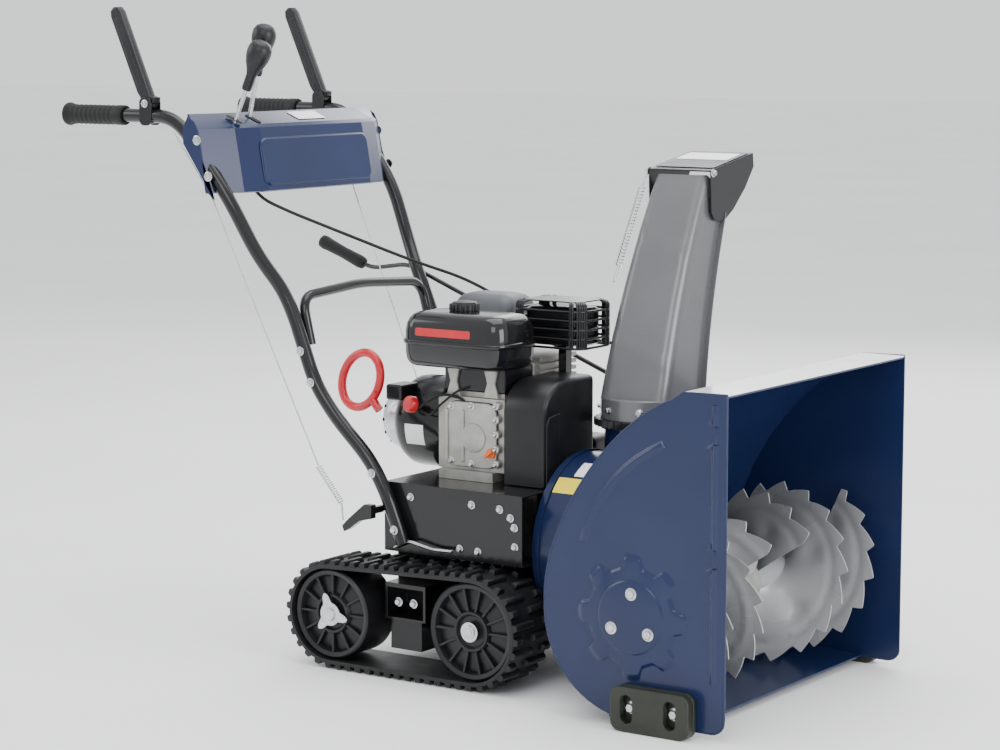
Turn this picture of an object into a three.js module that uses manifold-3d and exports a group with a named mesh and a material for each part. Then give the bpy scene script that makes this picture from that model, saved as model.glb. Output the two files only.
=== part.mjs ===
// Two-stage snow blower on tracks. Millimetres, +X forward, +Y the operator's left, +Z up.
// The origin is on the ground, under the middle of the machine's bounding box.
import * as THREE from "three";
import { mergeVertices } from "three/addons/utils/BufferGeometryUtils.js";
import Module from "manifold-3d";

const wasm = await Module();
wasm.setup();

// Driving dimensions
const HALF_LENGTH = 711.5;
const GAP = 0.3;
const SHEET = 3;
const WORKING_WIDTH = 610;
const PLATE_Y = WORKING_WIDTH / 2;
const AUGER = { x: 540, z: 181, tip: 150, root: 138, tube: 24, bore: 15.5, shaft: 12 };
const DRUM = { rear: 247, front: 470, z: 229, outer: 156, inner: 153 };
const CHUTE = { x: 330, y: 80, ring: 81, neck: 74, foot: 441, top: 862 };
const WHEEL = { frontX: 187, rearX: -109, frontZ: 102, rearZ: 97, frontR: 85, rearR: 80 };
const TRACK = { inner: 150, outer: 262, band: 7, lug: 9 };
const CHASSIS = { back: -43, front: 246, low: 207, high: 329, half: 185 };
const CASE = { back: -70, front: 246, low: 58, half: 110 };
const CRANK = { z: 408 };
const HANDLE = { half: 249, radius: 12.5, axisZ: 955 };
const LEVER = { x: -514, z: 975, length: 190 };
const DISC = { x: 120, radius: 72 };
const HEX = { x: 66, z: 225, radius: 9 };

const MATERIALS = {
  blue: new THREE.MeshStandardMaterial({ color: 0x2a3a66, roughness: 0.35, metalness: 0.1 }),
  black: new THREE.MeshStandardMaterial({ color: 0x1c1c1e, roughness: 0.45, metalness: 0.2 }),
  rubber: new THREE.MeshStandardMaterial({ color: 0x1a1a1a, roughness: 0.85, metalness: 0 }),
  plastic: new THREE.MeshStandardMaterial({ color: 0x26272a, roughness: 0.55, metalness: 0 }),
  olive: new THREE.MeshStandardMaterial({ color: 0x2b2e26, roughness: 0.6, metalness: 0 }),
  grey: new THREE.MeshStandardMaterial({ color: 0x8d8e90, roughness: 0.4, metalness: 0.3 }),
  cast: new THREE.MeshStandardMaterial({ color: 0xb4b3ac, roughness: 0.5, metalness: 0.6 }),
  steel: new THREE.MeshStandardMaterial({ color: 0xc3c6c9, roughness: 0.3, metalness: 0.9 }),
  red: new THREE.MeshStandardMaterial({ color: 0xc01f28, roughness: 0.4, metalness: 0 }),
  orange: new THREE.MeshStandardMaterial({ color: 0xe0701c, roughness: 0.45, metalness: 0 }),
};

const machine = new THREE.Group();

// A three.js geometry as a closed solid, and back.
function solid(geometry) {
  const bare = geometry.clone();
  bare.deleteAttribute("normal");
  bare.deleteAttribute("uv");
  const merged = mergeVertices(bare, 1e-3);
  return new wasm.Manifold(new wasm.Mesh({
    numProp: 3,
    vertProperties: merged.attributes.position.array,
    triVerts: new Uint32Array(merged.index.array),
  }));
}

function geometryOf(body) {
  const mesh = body.getMesh();
  const geometry = new THREE.BufferGeometry();
  const stride = mesh.numProp;
  const points = new Float32Array(mesh.numVert * 3);
  for (let i = 0; i < mesh.numVert; i++) {
    points.set(mesh.vertProperties.subarray(i * stride, i * stride + 3), i * 3);
  }
  geometry.setAttribute("position", new THREE.BufferAttribute(points, 3));
  geometry.setIndex(new THREE.BufferAttribute(mesh.triVerts, 1));
  return geometry;
}

const join = (first, ...rest) => rest.reduce((whole, next) => whole.add(next), first);
const cut = (first, ...rest) => rest.reduce((whole, next) => whole.subtract(next), first);

function add(name, body, material) {
  const mesh = new THREE.Mesh(geometryOf(body), MATERIALS[material]);
  mesh.name = name;
  machine.add(mesh);
}

const outline = (points) => new THREE.Shape(points.map(([a, b]) => new THREE.Vector2(a, b)));

function extruded(shape, depth, segments = 8) {
  return new THREE.ExtrudeGeometry(shape, { depth, bevelEnabled: false, curveSegments: segments });
}

// An outline in X and Z made thick along Y, from y0 to y1.
function slab(shape, y0, y1, segments) {
  const flat = Array.isArray(shape) ? outline(shape) : shape;
  return solid(extruded(flat, y1 - y0, segments).rotateX(Math.PI / 2).translate(0, y1, 0));
}

// An outline in X and Y raised along Z, from z0 to z1.
function column(shape, z0, z1, segments) {
  const flat = Array.isArray(shape) ? outline(shape) : shape;
  return solid(extruded(flat, z1 - z0, segments).translate(0, 0, z0));
}

// An outline in Y and Z made long along X, from x0 to x1.
function beam(shape, x0, x1, segments) {
  const flat = Array.isArray(shape) ? outline(shape) : shape;
  const turn = new THREE.Matrix4().makeBasis(
    new THREE.Vector3(0, 1, 0),
    new THREE.Vector3(0, 0, 1),
    new THREE.Vector3(1, 0, 0),
  );
  return solid(extruded(flat, x1 - x0, segments).applyMatrix4(turn).translate(x0, 0, 0));
}

function box(x0, x1, y0, y1, z0, z1) {
  const block = new THREE.BoxGeometry(x1 - x0, y1 - y0, z1 - z0);
  return solid(block.translate((x0 + x1) / 2, (y0 + y1) / 2, (z0 + z1) / 2));
}

// A profile of [radius, distance along the axis], turned about the axis from start towards end.
function turned(profile, start, direction, sides = 20) {
  const points = profile.map(([r, t]) => new THREE.Vector2(r, t));
  const geometry = new THREE.LatheGeometry(points, sides);
  const toAxis = new THREE.Quaternion().setFromUnitVectors(
    new THREE.Vector3(0, 1, 0),
    new THREE.Vector3(...direction).normalize(),
  );
  geometry.applyQuaternion(toAxis).translate(...start);
  const body = solid(geometry);
  if (body.volume() > 0) return body;
  return turned(profile.slice().reverse(), start, direction, sides);
}

function rod(start, end, radius, sides = 12) {
  const a = new THREE.Vector3(...start);
  const b = new THREE.Vector3(...end);
  const length = a.distanceTo(b);
  const profile = [[0, 0], [radius, 0], [radius, length], [0, length]];
  return turned(profile, start, b.sub(a).toArray(), sides);
}

function ring(start, direction, inner, outer, length, sides = 20) {
  const profile = [[inner, 0], [outer, 0], [outer, length], [inner, length], [inner, 0]];
  return turned(profile, start, direction, sides);
}

// A round bar along straight runs joined by rounded corners.
// Each half circle of the section gets the given number of sides.
function bent(points, radius, corner = 45, sides = 5, steps = 26) {
  const nodes = points.map((p) => new THREE.Vector3(...p));
  const path = new THREE.CurvePath();
  let from = nodes[0];
  for (let i = 1; i < nodes.length - 1; i++) {
    const here = nodes[i];
    const back = from.clone().sub(here);
    const on = nodes[i + 1].clone().sub(here);
    const reach = Math.min(corner, back.length() * 0.9, on.length() * 0.48);
    const enter = here.clone().add(back.setLength(reach));
    const leave = here.clone().add(on.setLength(reach));
    path.add(new THREE.LineCurve3(from, enter));
    path.add(new THREE.QuadraticBezierCurve3(enter, here, leave));
    from = leave;
  }
  path.add(new THREE.LineCurve3(from, nodes.at(-1)));
  const section = new THREE.Shape().absarc(0, 0, radius, 0, 2 * Math.PI);
  return solid(new THREE.ExtrudeGeometry(section, {
    steps,
    curveSegments: sides,
    extrudePath: path,
    bevelEnabled: false,
  }));
}

const mirrored = (body) => body.mirror([0, 1, 0]);

// Auger housing -----------------------------------------------------------------------------
function housingOutline() {
  const shape = new THREE.Shape();
  shape.moveTo(686, 12);
  shape.quadraticCurveTo(HALF_LENGTH, 12, HALF_LENGTH, 37);
  shape.lineTo(HALF_LENGTH, 552);
  shape.lineTo(632, 550);
  shape.lineTo(612, 537);
  shape.bezierCurveTo(480, 485, 368, 305, 373, 190);
  shape.absarc(AUGER.x, AUGER.z, 167, THREE.MathUtils.degToRad(177), THREE.MathUtils.degToRad(255));
  shape.lineTo(520, 13);
  shape.lineTo(686, 12);
  return shape;
}

// Each side plate carries the auger shaft's flanged bearing on its inner face.
const bearing = ring([AUGER.x, 289, AUGER.z], [0, 1, 0], AUGER.shaft + 0.4, 45, 17, 20);
const sidePlate = join(slab(housingOutline(), PLATE_Y + GAP, PLATE_Y + SHEET, 8), bearing);
add("side_plate_left", sidePlate, "blue");
add("side_plate_right", mirrored(sidePlate), "blue");

// The shell follows the plates' edge, set in by the given distance.
function shellEdge(inset) {
  const shape = new THREE.Shape();
  shape.moveTo(HALF_LENGTH - 1.5, 549 - inset);
  shape.lineTo(634, 547 - inset);
  shape.lineTo(614 + inset / 2, 534 - inset);
  shape.bezierCurveTo(483 + inset, 482 - inset, 371 + inset, 303, 376 + inset, 190);
  shape.absarc(
    AUGER.x,
    AUGER.z,
    164 - inset,
    THREE.MathUtils.degToRad(177),
    THREE.MathUtils.degToRad(255),
  );
  return shape.getPoints(8).map((p) => [p.x, p.y]);
}

const drumOpening = rod([300, 0, DRUM.z], [455, 0, DRUM.z], DRUM.inner - 2, 28);
const housingSheet = slab([...shellEdge(0), ...shellEdge(SHEET).reverse()], -PLATE_Y, PLATE_Y);
const scraper = slab([[496, 12], [640, 12], [640, 16], [512, 24], [496, 26]], -PLATE_Y, PLATE_Y);
add("auger_housing", join(cut(housingSheet, drumOpening), scraper), "blue");

function skidShoe() {
  const points = [
    [516, 12], [534, 0], [642, 0], [661, 14],
    [661, 62], [650, 73], [528, 73], [516, 60],
  ];
  const block = slab(points, PLATE_Y + SHEET + GAP, PLATE_Y + 31);
  const slots = [546, 626].map((x) => box(x - 11, x + 11, PLATE_Y + 17, PLATE_Y + 40, 16, 60));
  return cut(block, ...slots);
}
add("skid_shoe_left", skidShoe(), "olive");
add("skid_shoe_right", mirrored(skidShoe()), "olive");

// Impeller drum with the round neck that the chute turns on.
function impellerDrum() {
  const wall = ring([DRUM.rear, 0, DRUM.z], [1, 0, 0], 0, DRUM.outer, DRUM.front - DRUM.rear, 36);
  const bead = rod([DRUM.rear + 9, 0, DRUM.z], [DRUM.rear + 15, 0, DRUM.z], DRUM.outer + 3, 36);
  const inside = rod([DRUM.rear + SHEET, 0, DRUM.z], [500, 0, DRUM.z], DRUM.inner, 36);
  const neck = rod([CHUTE.x, CHUTE.y, 250], [CHUTE.x, CHUTE.y, 438], CHUTE.neck, 24);
  const lip = rod([CHUTE.x, CHUTE.y, 423], [CHUTE.x, CHUTE.y, 427], CHUTE.ring, 24);
  const bore = rod([CHUTE.x, CHUTE.y, 200], [CHUTE.x, CHUTE.y, 500], CHUTE.neck - SHEET, 24);
  const shaftHole = rod([200, 0, DRUM.z], [260, 0, DRUM.z], 12, 16);
  const front = slab([...shellEdge(-GAP), [800, 13], [800, 549]], -400, 400);
  return cut(join(wall, bead, neck, lip), inside, bore, shaftHole, front);
}
add("impeller_drum", impellerDrum(), "blue");

// Auger, gearbox and impeller ---------------------------------------------------------------
// One helical flight with saw teeth on its rim, from y0 outwards to the right.
function flight(y0, startAngle) {
  const teeth = 11;
  const thick = 4;
  const samples = [];
  for (let tooth = 0; tooth < Math.round(AUGER_TURNS * teeth); tooth++) {
    samples.push([tooth / teeth, AUGER.tip], [(tooth + 0.85) / teeth, AUGER.root]);
  }
  const points = [];
  const faces = [];
  for (const [turn, radius] of samples) {
    const angle = startAngle + turn * 2 * Math.PI;
    const y = y0 - turn * AUGER_PITCH;
    const root = AUGER.tube - 2;
    for (const [r, dy] of [[root, 0], [radius, 0], [radius, thick], [root, thick]]) {
      points.push(AUGER.x + r * Math.cos(angle), y + dy, AUGER.z + r * Math.sin(angle));
    }
  }
  const rows = samples.length;
  for (let row = 0; row < rows - 1; row++) {
    for (let side = 0; side < 4; side++) {
      const a = row * 4 + side;
      const b = row * 4 + ((side + 1) % 4);
      faces.push(a, b, a + 4, b, b + 4, a + 4);
    }
  }
  const last = (rows - 1) * 4;
  faces.push(0, 2, 1, 0, 3, 2, last, last + 1, last + 2, last, last + 2, last + 3);
  const build = (order) => {
    const geometry = new THREE.BufferGeometry();
    geometry.setAttribute("position", new THREE.Float32BufferAttribute(points, 3));
    geometry.setIndex(order);
    return solid(geometry);
  };
  const body = build(faces);
  if (body.volume() > 0) return body;
  const flipped = [];
  for (let i = 0; i < faces.length; i += 3) flipped.push(faces[i], faces[i + 2], faces[i + 1]);
  return build(flipped);
}

const AUGER_IN = 56;
const AUGER_OUT = 286;
const AUGER_PITCH = 205;
const AUGER_TURNS = 1.08;
function augerHalf() {
  const start = [AUGER.x, -AUGER_IN, AUGER.z];
  const tube = ring(start, [0, -1, 0], AUGER.bore, AUGER.tube, AUGER_OUT - AUGER_IN, 12);
  const first = flight(-AUGER_IN - 8, 0.6);
  const second = flight(-AUGER_IN - 8, 0.6 + Math.PI);
  return join(tube, first, second);
}
const rightAuger = augerHalf();
add("auger_right", rightAuger, "grey");
add("auger_left", mirrored(rightAuger), "grey");

// The gear case holds the worm above the worm wheel, and is open where its shafts leave it.
const WORM_Z = DRUM.z;
function gearCase() {
  const shell = rod([AUGER.x, -44, AUGER.z], [AUGER.x, 44, AUGER.z], 40, 20);
  const nose = rod([AUGER.x - 82, 0, WORM_Z], [AUGER.x + 44, 0, WORM_Z], 25, 16);
  const hollow = rod([AUGER.x, -20, AUGER.z], [AUGER.x, 20, AUGER.z], 29, 16);
  const tunnel = rod([AUGER.x - 42, 0, WORM_Z], [AUGER.x + 38, 0, WORM_Z], 17, 12);
  const across = rod([AUGER.x, -60, AUGER.z], [AUGER.x, 60, AUGER.z], AUGER.shaft + 0.4);
  const along = rod([AUGER.x - 90, 0, WORM_Z], [AUGER.x, 0, WORM_Z], 10.4);
  return cut(join(shell, nose), hollow, tunnel, across, along);
}
add("gear_case", gearCase(), "cast");

function toothedOutline(teeth, root, tip, bore) {
  const points = [];
  for (let i = 0; i < teeth * 2; i++) {
    const radius = i % 2 ? tip : root;
    const angle = (i / (teeth * 2)) * 2 * Math.PI;
    points.push([radius * Math.cos(angle), radius * Math.sin(angle)]);
  }
  const shape = outline(points);
  shape.holes.push(new THREE.Path().absarc(0, 0, bore, 0, 2 * Math.PI, true));
  return shape;
}
// The worm wheel is keyed to the auger shaft.
function augerShaft() {
  const end = PLATE_Y - 3;
  const shaft = rod([AUGER.x, -end, AUGER.z], [AUGER.x, end, AUGER.z], AUGER.shaft);
  const wheel = slab(toothedOutline(20, 24, 27, AUGER.shaft - 1), -12, 12, 6);
  return join(shaft, wheel.translate([AUGER.x, 0, AUGER.z]));
}
add("auger_shaft", augerShaft(), "steel");

function impellerShaft() {
  const shaft = rod([158, 0, DRUM.z], [AUGER.x + 34, 0, WORM_Z], 10);
  const thread = [];
  for (let x = -26; x < 26; x += 13) {
    thread.push(ring([AUGER.x + x, 0, WORM_Z], [1, 0, 0], 5, 15.5, 6, 12));
  }
  return join(shaft, ...thread);
}
add("impeller_shaft", impellerShaft(), "steel");

function impeller() {
  const hub = ring([266, 0, DRUM.z], [1, 0, 0], 10.4, 26, 80, 16);
  const blades = [];
  for (let i = 0; i < 4; i++) {
    const blade = join(box(270, 342, -2, 2, 20, 142), box(270, 274, -26, 2, 20, 130));
    blades.push(blade.rotate([45 + i * 90, 0, 0]).translate([0, 0, DRUM.z]));
  }
  return join(hub, ...blades);
}
add("impeller", impeller(), "grey");

// Chute, deflector and crank ----------------------------------------------------------------
// Horizontal section of the chute at height z, as a U open towards +Y.
function chuteSection(z, inset) {
  const t = (z - 470) / (CHUTE.top - 470);
  const half = THREE.MathUtils.lerp(68, 53, t) - inset;
  const back = THREE.MathUtils.lerp(20, 186, 0.62 * t + 0.38 * t * t) + inset;
  const depth = THREE.MathUtils.lerp(130, 84, t) + (inset ? 60 : 0);
  const corner = 18 - inset;
  return { half, back, depth, corner };
}

function chuteLoft(inset, z0, z1, levels) {
  const points = [];
  const perRing = 8;
  for (let i = 0; i <= levels; i++) {
    const z = THREE.MathUtils.lerp(z0, z1, i / levels);
    const s = chuteSection(z, inset);
    const front = s.back + s.depth;
    const c = s.corner;
    const corners = [
      [-s.half + c, s.back], [s.half - c, s.back],
      [s.half - c * 0.3, s.back + c * 0.3], [s.half, s.back + c],
      [s.half, front], [-s.half, front],
      [-s.half, s.back + c], [-s.half + c * 0.3, s.back + c * 0.3],
    ];
    for (const [x, y] of corners) points.push(CHUTE.x + x, y, z);
  }
  const faces = [];
  for (let i = 0; i < levels; i++) {
    for (let k = 0; k < perRing; k++) {
      const a = i * perRing + k;
      const b = i * perRing + ((k + 1) % perRing);
      faces.push(a, b, a + perRing, b, b + perRing, a + perRing);
    }
  }
  const top = levels * perRing;
  for (let k = 1; k < perRing - 1; k++) faces.push(0, k + 1, k, top, top + k, top + k + 1);
  const geometry = new THREE.BufferGeometry();
  geometry.setAttribute("position", new THREE.Float32BufferAttribute(points, 3));
  geometry.setIndex(faces);
  return solid(geometry);
}

function chute() {
  const outside = chuteLoft(0, 474, CHUTE.top - 6, 5);
  const inside = chuteLoft(SHEET, 440, CHUTE.top + 20, 5);
  const foot = rod([CHUTE.x, CHUTE.y, CHUTE.foot], [CHUTE.x, CHUTE.y, 478], CHUTE.ring, 24);
  const footBore = rod([CHUTE.x, CHUTE.y, 400], [CHUTE.x, CHUTE.y, 474], CHUTE.neck + 2, 24);
  const through = rod([CHUTE.x, CHUTE.y, 470], [CHUTE.x, CHUTE.y, 500], CHUTE.neck - 8, 24);
  const slopedTop = beam([[192, 858], [270, 775], [400, 775], [400, 900], [192, 900]], 200, 460);
  return cut(join(foot, outside), inside, footBore, through, slopedTop);
}
add("chute", chute(), "grey");

const gearRing = column(toothedOutline(36, 87, 93, CHUTE.neck + 1.6), 428, 440.5, 36);
add("chute_gear", gearRing.translate([CHUTE.x, CHUTE.y, 0]), "plastic");

function deflector() {
  const side = [[183, 866], [333, 891], [336, 866], [264, 793], [236, 777], [206, 775], [186, 790]];
  const wide = beam(side, CHUTE.x - 64, CHUTE.x + 64);
  const hollow = beam(
    [[160, 859], [188, 862.5], [500, 914], [500, 700], [160, 700]],
    CHUTE.x - 61,
    CHUTE.x + 61,
  );
  const pin = rod([CHUTE.x - 62, 189, 861], [CHUTE.x + 62, 189, 861], 2.5, 10);
  return join(cut(wide, hollow), pin);
}
add("deflector", deflector(), "plastic");
const springFoot = [CHUTE.x - 70, 96, 700];
add("deflector_spring", rod(springFoot, [CHUTE.x - 70, 180, 845], 5, 8), "steel");

// The crank carries a worm beside the chute gear, and its grip turns on the offset spindle.
const SLOPE = -0.37;
const crankPoint = (x) => [x, 190 - 0.057 * (x - 303), 436 + SLOPE * (x - 330)];
function chuteCrank() {
  const foot = crankPoint(352);
  const elbow = crankPoint(-290);
  const wrist = [-385, 236, 652];
  const tip = [-512, 243, 652 - SLOPE * 127];
  const aim = [foot[0] - elbow[0], foot[1] - elbow[1], foot[2] - elbow[2]];
  const worm = turned([[0, 0], [12, 0], [12, 46], [0, 46]], crankPoint(303), aim, 14);
  const inward = [wrist[0] - tip[0], wrist[1] - tip[1], wrist[2] - tip[2]];
  const grip = turned([[0, 0], [11, 0], [14, 10], [13, 112], [9, 120], [0, 120]], tip, inward, 14);
  const runs = [[foot, elbow], [elbow, wrist], [wrist, tip]].map(([a, b]) => rod(a, b, 4.5, 8));
  return join(...runs, worm, grip);
}
add("chute_crank", chuteCrank(), "steel");

// Handlebars, panel and levers --------------------------------------------------------------
const barPath = [
  [-HALF_LENGTH + 18, HANDLE.half, HANDLE.axisZ],
  [-452, HANDLE.half, HANDLE.axisZ],
  [-341, 243, 817],
  [-290, 224, 714],
  [-252, 203, 655],
  [-229, 200, 610],
  [-183, 200, 492],
  [-140, 200, 438],
  [-62, 200, 366],
  [-28, 200, 312],
  [8, 200, 224],
];
const leftBar = bent(barPath, HANDLE.radius, 30, 5, 34);
add("handlebar_left", leftBar, "black");
add("handlebar_right", mirrored(leftBar), "black");

const gripProfile = [
  [0, 0], [21, 0], [21, 8], [18, 18], [17, 120], [18, 140],
  [HANDLE.radius + GAP, 140], [HANDLE.radius + GAP, 16], [0, 16],
];
const leftGrip = turned(gripProfile, [-HALF_LENGTH, HANDLE.half, HANDLE.axisZ], [1, 0, 0]);
add("grip_left", leftGrip, "rubber");
add("grip_right", mirrored(leftGrip), "rubber");

const braceReach = 200 - HANDLE.radius - 9 - GAP;
const bracePath = [
  [-196, -braceReach, 560], [-222, -braceReach, 640], [-226, 0, 651],
  [-222, braceReach, 640], [-196, braceReach, 560],
];
add("cross_brace", bent(bracePath, 9, 34, 4, 30), "black");

function controlPanel() {
  const profile = [
    [-322, 822], [-342, 936], [-350, 941], [-398, 962], [-424, 934], [-431, 912], [-346, 812],
  ];
  const plan = [
    [-300, 150], [-300, -150], [-310, -205], [-345, -265],
    [-470, -265], [-470, 265], [-345, 265], [-310, 205],
  ];
  const outer = slab(profile, -265, 265).intersect(column(plan, 700, 1100));
  const innerProfile = [
    [-327, 800], [-345, 933], [-352, 938], [-398, 958.5], [-424, 946], [-520, 930], [-340, 760],
  ];
  const hollow = slab(innerProfile, -262.2, 262.2).intersect(
    column([[-303, 148], [-303, -148], [-313, -203], [-348, -262.2], [-600, -262.2],
      [-600, 262.2], [-348, 262.2], [-313, 203]], 700, 1100),
  );
  const slots = [-190, -137].map((y) => box(-440, -352, y - 6, y + 6, 900, 1000));
  const barRoom = bent(barPath, HANDLE.radius + 1, 30, 5, 34);
  return cut(outer, hollow, ...slots, barRoom, mirrored(barRoom));
}
add("control_panel", controlPanel(), "blue");

// Clutch lever: a flat handle over the grip, turning on a bolt through the bar's bracket.
function clutchLever() {
  const lean = THREE.MathUtils.degToRad(24);
  const blade = [[-6, 0], [-13, 60], [-12, LEVER.length - 12], [0, LEVER.length],
    [12, LEVER.length - 12], [13, 60], [13, 12], [24, 4], [18, -4]];
  const handle = slab(blade, -11, 11).rotate([0, THREE.MathUtils.radToDeg(-lean), 0]);
  return handle.translate([LEVER.x, HANDLE.half, LEVER.z]);
}
add("clutch_lever_left", clutchLever(), "plastic");
add("clutch_lever_right", mirrored(clutchLever()), "plastic");

function controlLever(y, tipX, tipZ) {
  const foot = [-392, y, 890];
  const along = new THREE.Vector3(tipX - foot[0], 0, tipZ - foot[2]);
  const length = along.length();
  const profile = [
    [0, 0], [4, 0], [4, length - 92], [9, length - 90], [9, length - 84], [10, length - 60],
    [20, length - 32], [22, length - 18], [18, length - 6], [10, length], [0, length + 1],
  ];
  const boss = rod([foot[0], y - 5, foot[2]], [foot[0], y + 5, foot[2]], 9);
  return join(turned(profile, foot, along.toArray(), 12), boss);
}
add("deflector_lever", controlLever(-137, -336, 1118), "plastic");
add("shift_lever", controlLever(-190, -300, 1088), "plastic");

// Control cables, held at both ends ---------------------------------------------------------
// Each clutch cable ends in its return spring, hooked to a clutch arm.
function clutchCable(route, springEnd, hookEnd) {
  const cable = bent(route, 1.5, 20, 3, 8);
  const spring = rod(route.at(-1), springEnd, 6, 8);
  return join(cable, spring, rod(springEnd, hookEnd, 2, 6));
}
add("clutch_cable_right", clutchCable(
  [[-470, -236, 928], [-384, -236, 815], [-148, -236, 352]],
  [-98, -236, 292],
  [-95, -236, 262],
), "steel");
add("clutch_cable_left", clutchCable(
  [[-470, 236, 928], [-372, 160, 815], [-138, 107, 355]],
  [-112, 101, 304],
  [-108, 119, 268],
), "steel");
const deflectorCable = [
  [-395, -137, 872], [-352, -150, 812], [-300, -120, 784], [-160, 60, 690],
  [-90, 152, 650], [60, 168, 570], [150, 176, 556], [205, 170, 552],
];
add("deflector_cable", bent(deflectorCable, 3, 40, 3, 30), "rubber");

// A clutch arm turns on a boss across the chassis at x, between y0 and y1.
function clutchArm(x, y0, y1, bossStart, bossEnd) {
  const points = [[8, 12], [-8, 12], [-44, -18], [-56, -30], [-52, -40], [-40, -34],
    [-18, -18], [8, -12]].map(([dx, dz]) => [x + dx, 280 + dz]);
  return join(slab(points, y0, y1), rod([x, bossStart, 280], [x, bossEnd, 280], 7, 10));
}
add("clutch_arm_right", clutchArm(-48, -228, -214, -228, -186), "black");
add("clutch_arm_left", clutchArm(-56, 96, 110, 84, 110), "black");

// Tracks ------------------------------------------------------------------------------------
// The band's outline at a distance outside the wheels, with cleats when asked for.
function bandOutline(grow) {
  const shape = new THREE.Shape();
  const start = Math.PI / 2;
  shape.absarc(WHEEL.frontX, WHEEL.frontZ, WHEEL.frontR + grow, -start, start, false);
  shape.absarc(WHEEL.rearX, WHEEL.rearZ, WHEEL.rearR + grow, start, 3 * start, false);
  return shape;
}

function trackBand() {
  const outer = slab(bandOutline(1 + TRACK.band), TRACK.inner, TRACK.outer, 7);
  const inner = slab(bandOutline(1), TRACK.inner - 5, TRACK.outer + 5, 7);
  const cleats = [];
  const cleat = (x, z, degrees, reach) => {
    const bar = box(-5, 5, TRACK.inner, TRACK.outer, reach + 3, reach + TRACK.band + TRACK.lug);
    cleats.push(bar.rotate([0, degrees, 0]).translate([x, 0, z]));
  };
  for (let i = 0; i < 6; i++) {
    cleat(WHEEL.frontX, WHEEL.frontZ, 15 + i * 30, WHEEL.frontR + 1);
    cleat(WHEEL.rearX, WHEEL.rearZ, -15 - i * 30, WHEEL.rearR + 1);
  }
  const run = WHEEL.frontX - WHEEL.rearX;
  for (let i = 0; i < 6; i++) {
    const t = (i + 0.5) / 6;
    const x = WHEEL.rearX + run * t;
    const high = THREE.MathUtils.lerp(WHEEL.rearZ + WHEEL.rearR, WHEEL.frontZ + WHEEL.frontR, t);
    const low = THREE.MathUtils.lerp(WHEEL.rearZ - WHEEL.rearR, WHEEL.frontZ - WHEEL.frontR, t);
    cleat(x, high, 0, 1);
    cleat(x, low, 180, 1);
  }
  return cut(join(outer, ...cleats), inner);
}
add("track_band_left", trackBand(), "rubber");
add("track_band_right", mirrored(trackBand()), "rubber");

function trackWheel(x, z, radius) {
  const profile = [
    [12.4, 0], [30, 0], [30, 12], [radius - 1, 12], [radius - 1, 92],
    [radius - 12, 88], [34, 88], [30, 94], [12.4, 94], [12.4, 0],
  ];
  return turned(profile, [x, TRACK.inner + 10, z], [0, 1, 0], 20);
}
const frontWheel = trackWheel(WHEEL.frontX, WHEEL.frontZ, WHEEL.frontR);
const rearWheel = trackWheel(WHEEL.rearX, WHEEL.rearZ, WHEEL.rearR);
add("drive_wheel_left", frontWheel, "plastic");
add("drive_wheel_right", mirrored(frontWheel), "plastic");
add("idler_wheel_left", rearWheel, "plastic");
add("idler_wheel_right", mirrored(rearWheel), "plastic");
const axle = (x, z) => rod([x, -260, z], [x, 260, z], 12);
add("drive_axle", axle(WHEEL.frontX, WHEEL.frontZ), "steel");
add("idler_axle", axle(WHEEL.rearX, WHEEL.rearZ), "steel");

function trackFrame() {
  const arm = slab([[-128, 78], [206, 84], [206, 120], [66, 150], [-22, 150], [-128, 116]], 151.5, 156);
  const block = box(-20, 66, 151.5, 215, 94, 158);
  const slider = box(-15, 51, 160, 205, 40, 94.5);
  const bores = [[WHEEL.frontX, WHEEL.frontZ], [WHEEL.rearX, WHEEL.rearZ]];
  return cut(
    join(arm, block, slider),
    ...bores.map(([x, z]) => rod([x, 130, z], [x, 158, z], 12.5)),
    box(-15, 61, 158, 230, 98, 150),
  );
}
add("track_frame_left", trackFrame(), "black");
add("track_frame_right", mirrored(trackFrame()), "black");

// Chassis and drive -------------------------------------------------------------------------
function chassis() {
  const outer = box(CHASSIS.back, CHASSIS.front, -CHASSIS.half, CHASSIS.half, CHASSIS.low, CHASSIS.high);
  const inner = box(
    CHASSIS.back + SHEET, 400, -CHASSIS.half + SHEET, CHASSIS.half - SHEET,
    CHASSIS.low + SHEET, CHASSIS.high - SHEET,
  );
  const floor = box(-30, 400, -CASE.half + SHEET, CASE.half - SHEET, 100, 260);
  const lower = box(CASE.back, CASE.front, -CASE.half, CASE.half, CASE.low, CHASSIS.low + SHEET);
  const lowerInner = box(
    CASE.back + SHEET, 400, -CASE.half + SHEET, CASE.half - SHEET,
    CASE.low + SHEET, CHASSIS.low,
  );
  const beltSlot = box(145, 236, -76, 76, 300, 360);
  const armTab = box(-62, CHASSIS.back + 1, 76, 83.5, 268, 292);
  const axles = [[WHEEL.frontX, WHEEL.frontZ], [WHEEL.rearX, WHEEL.rearZ]]
    .map(([x, z]) => rod([x, -200, z], [x, 200, z], 12.5));
  const shell = join(cut(outer, inner), cut(lower, lowerInner), armTab);
  return cut(shell, floor, beltSlot, ...axles);
}
add("chassis", chassis(), "black");

function pulley(x, z, radius, bore, grooves) {
  const profile = [[bore, 0]];
  for (let i = 0; i < grooves; i++) {
    const t = i * 15;
    profile.push([radius, t], [radius, t + 2], [radius - 9, t + 6], [radius - 9, t + 9], [radius, t + 13]);
  }
  const width = grooves * 15;
  profile.push([radius, width], [bore, width], [bore, 0]);
  return turned(profile, [x, 0, z], [1, 0, 0], 20);
}
add("impeller_pulley", pulley(195, DRUM.z, 74, 10.4, 1), "steel");

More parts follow.
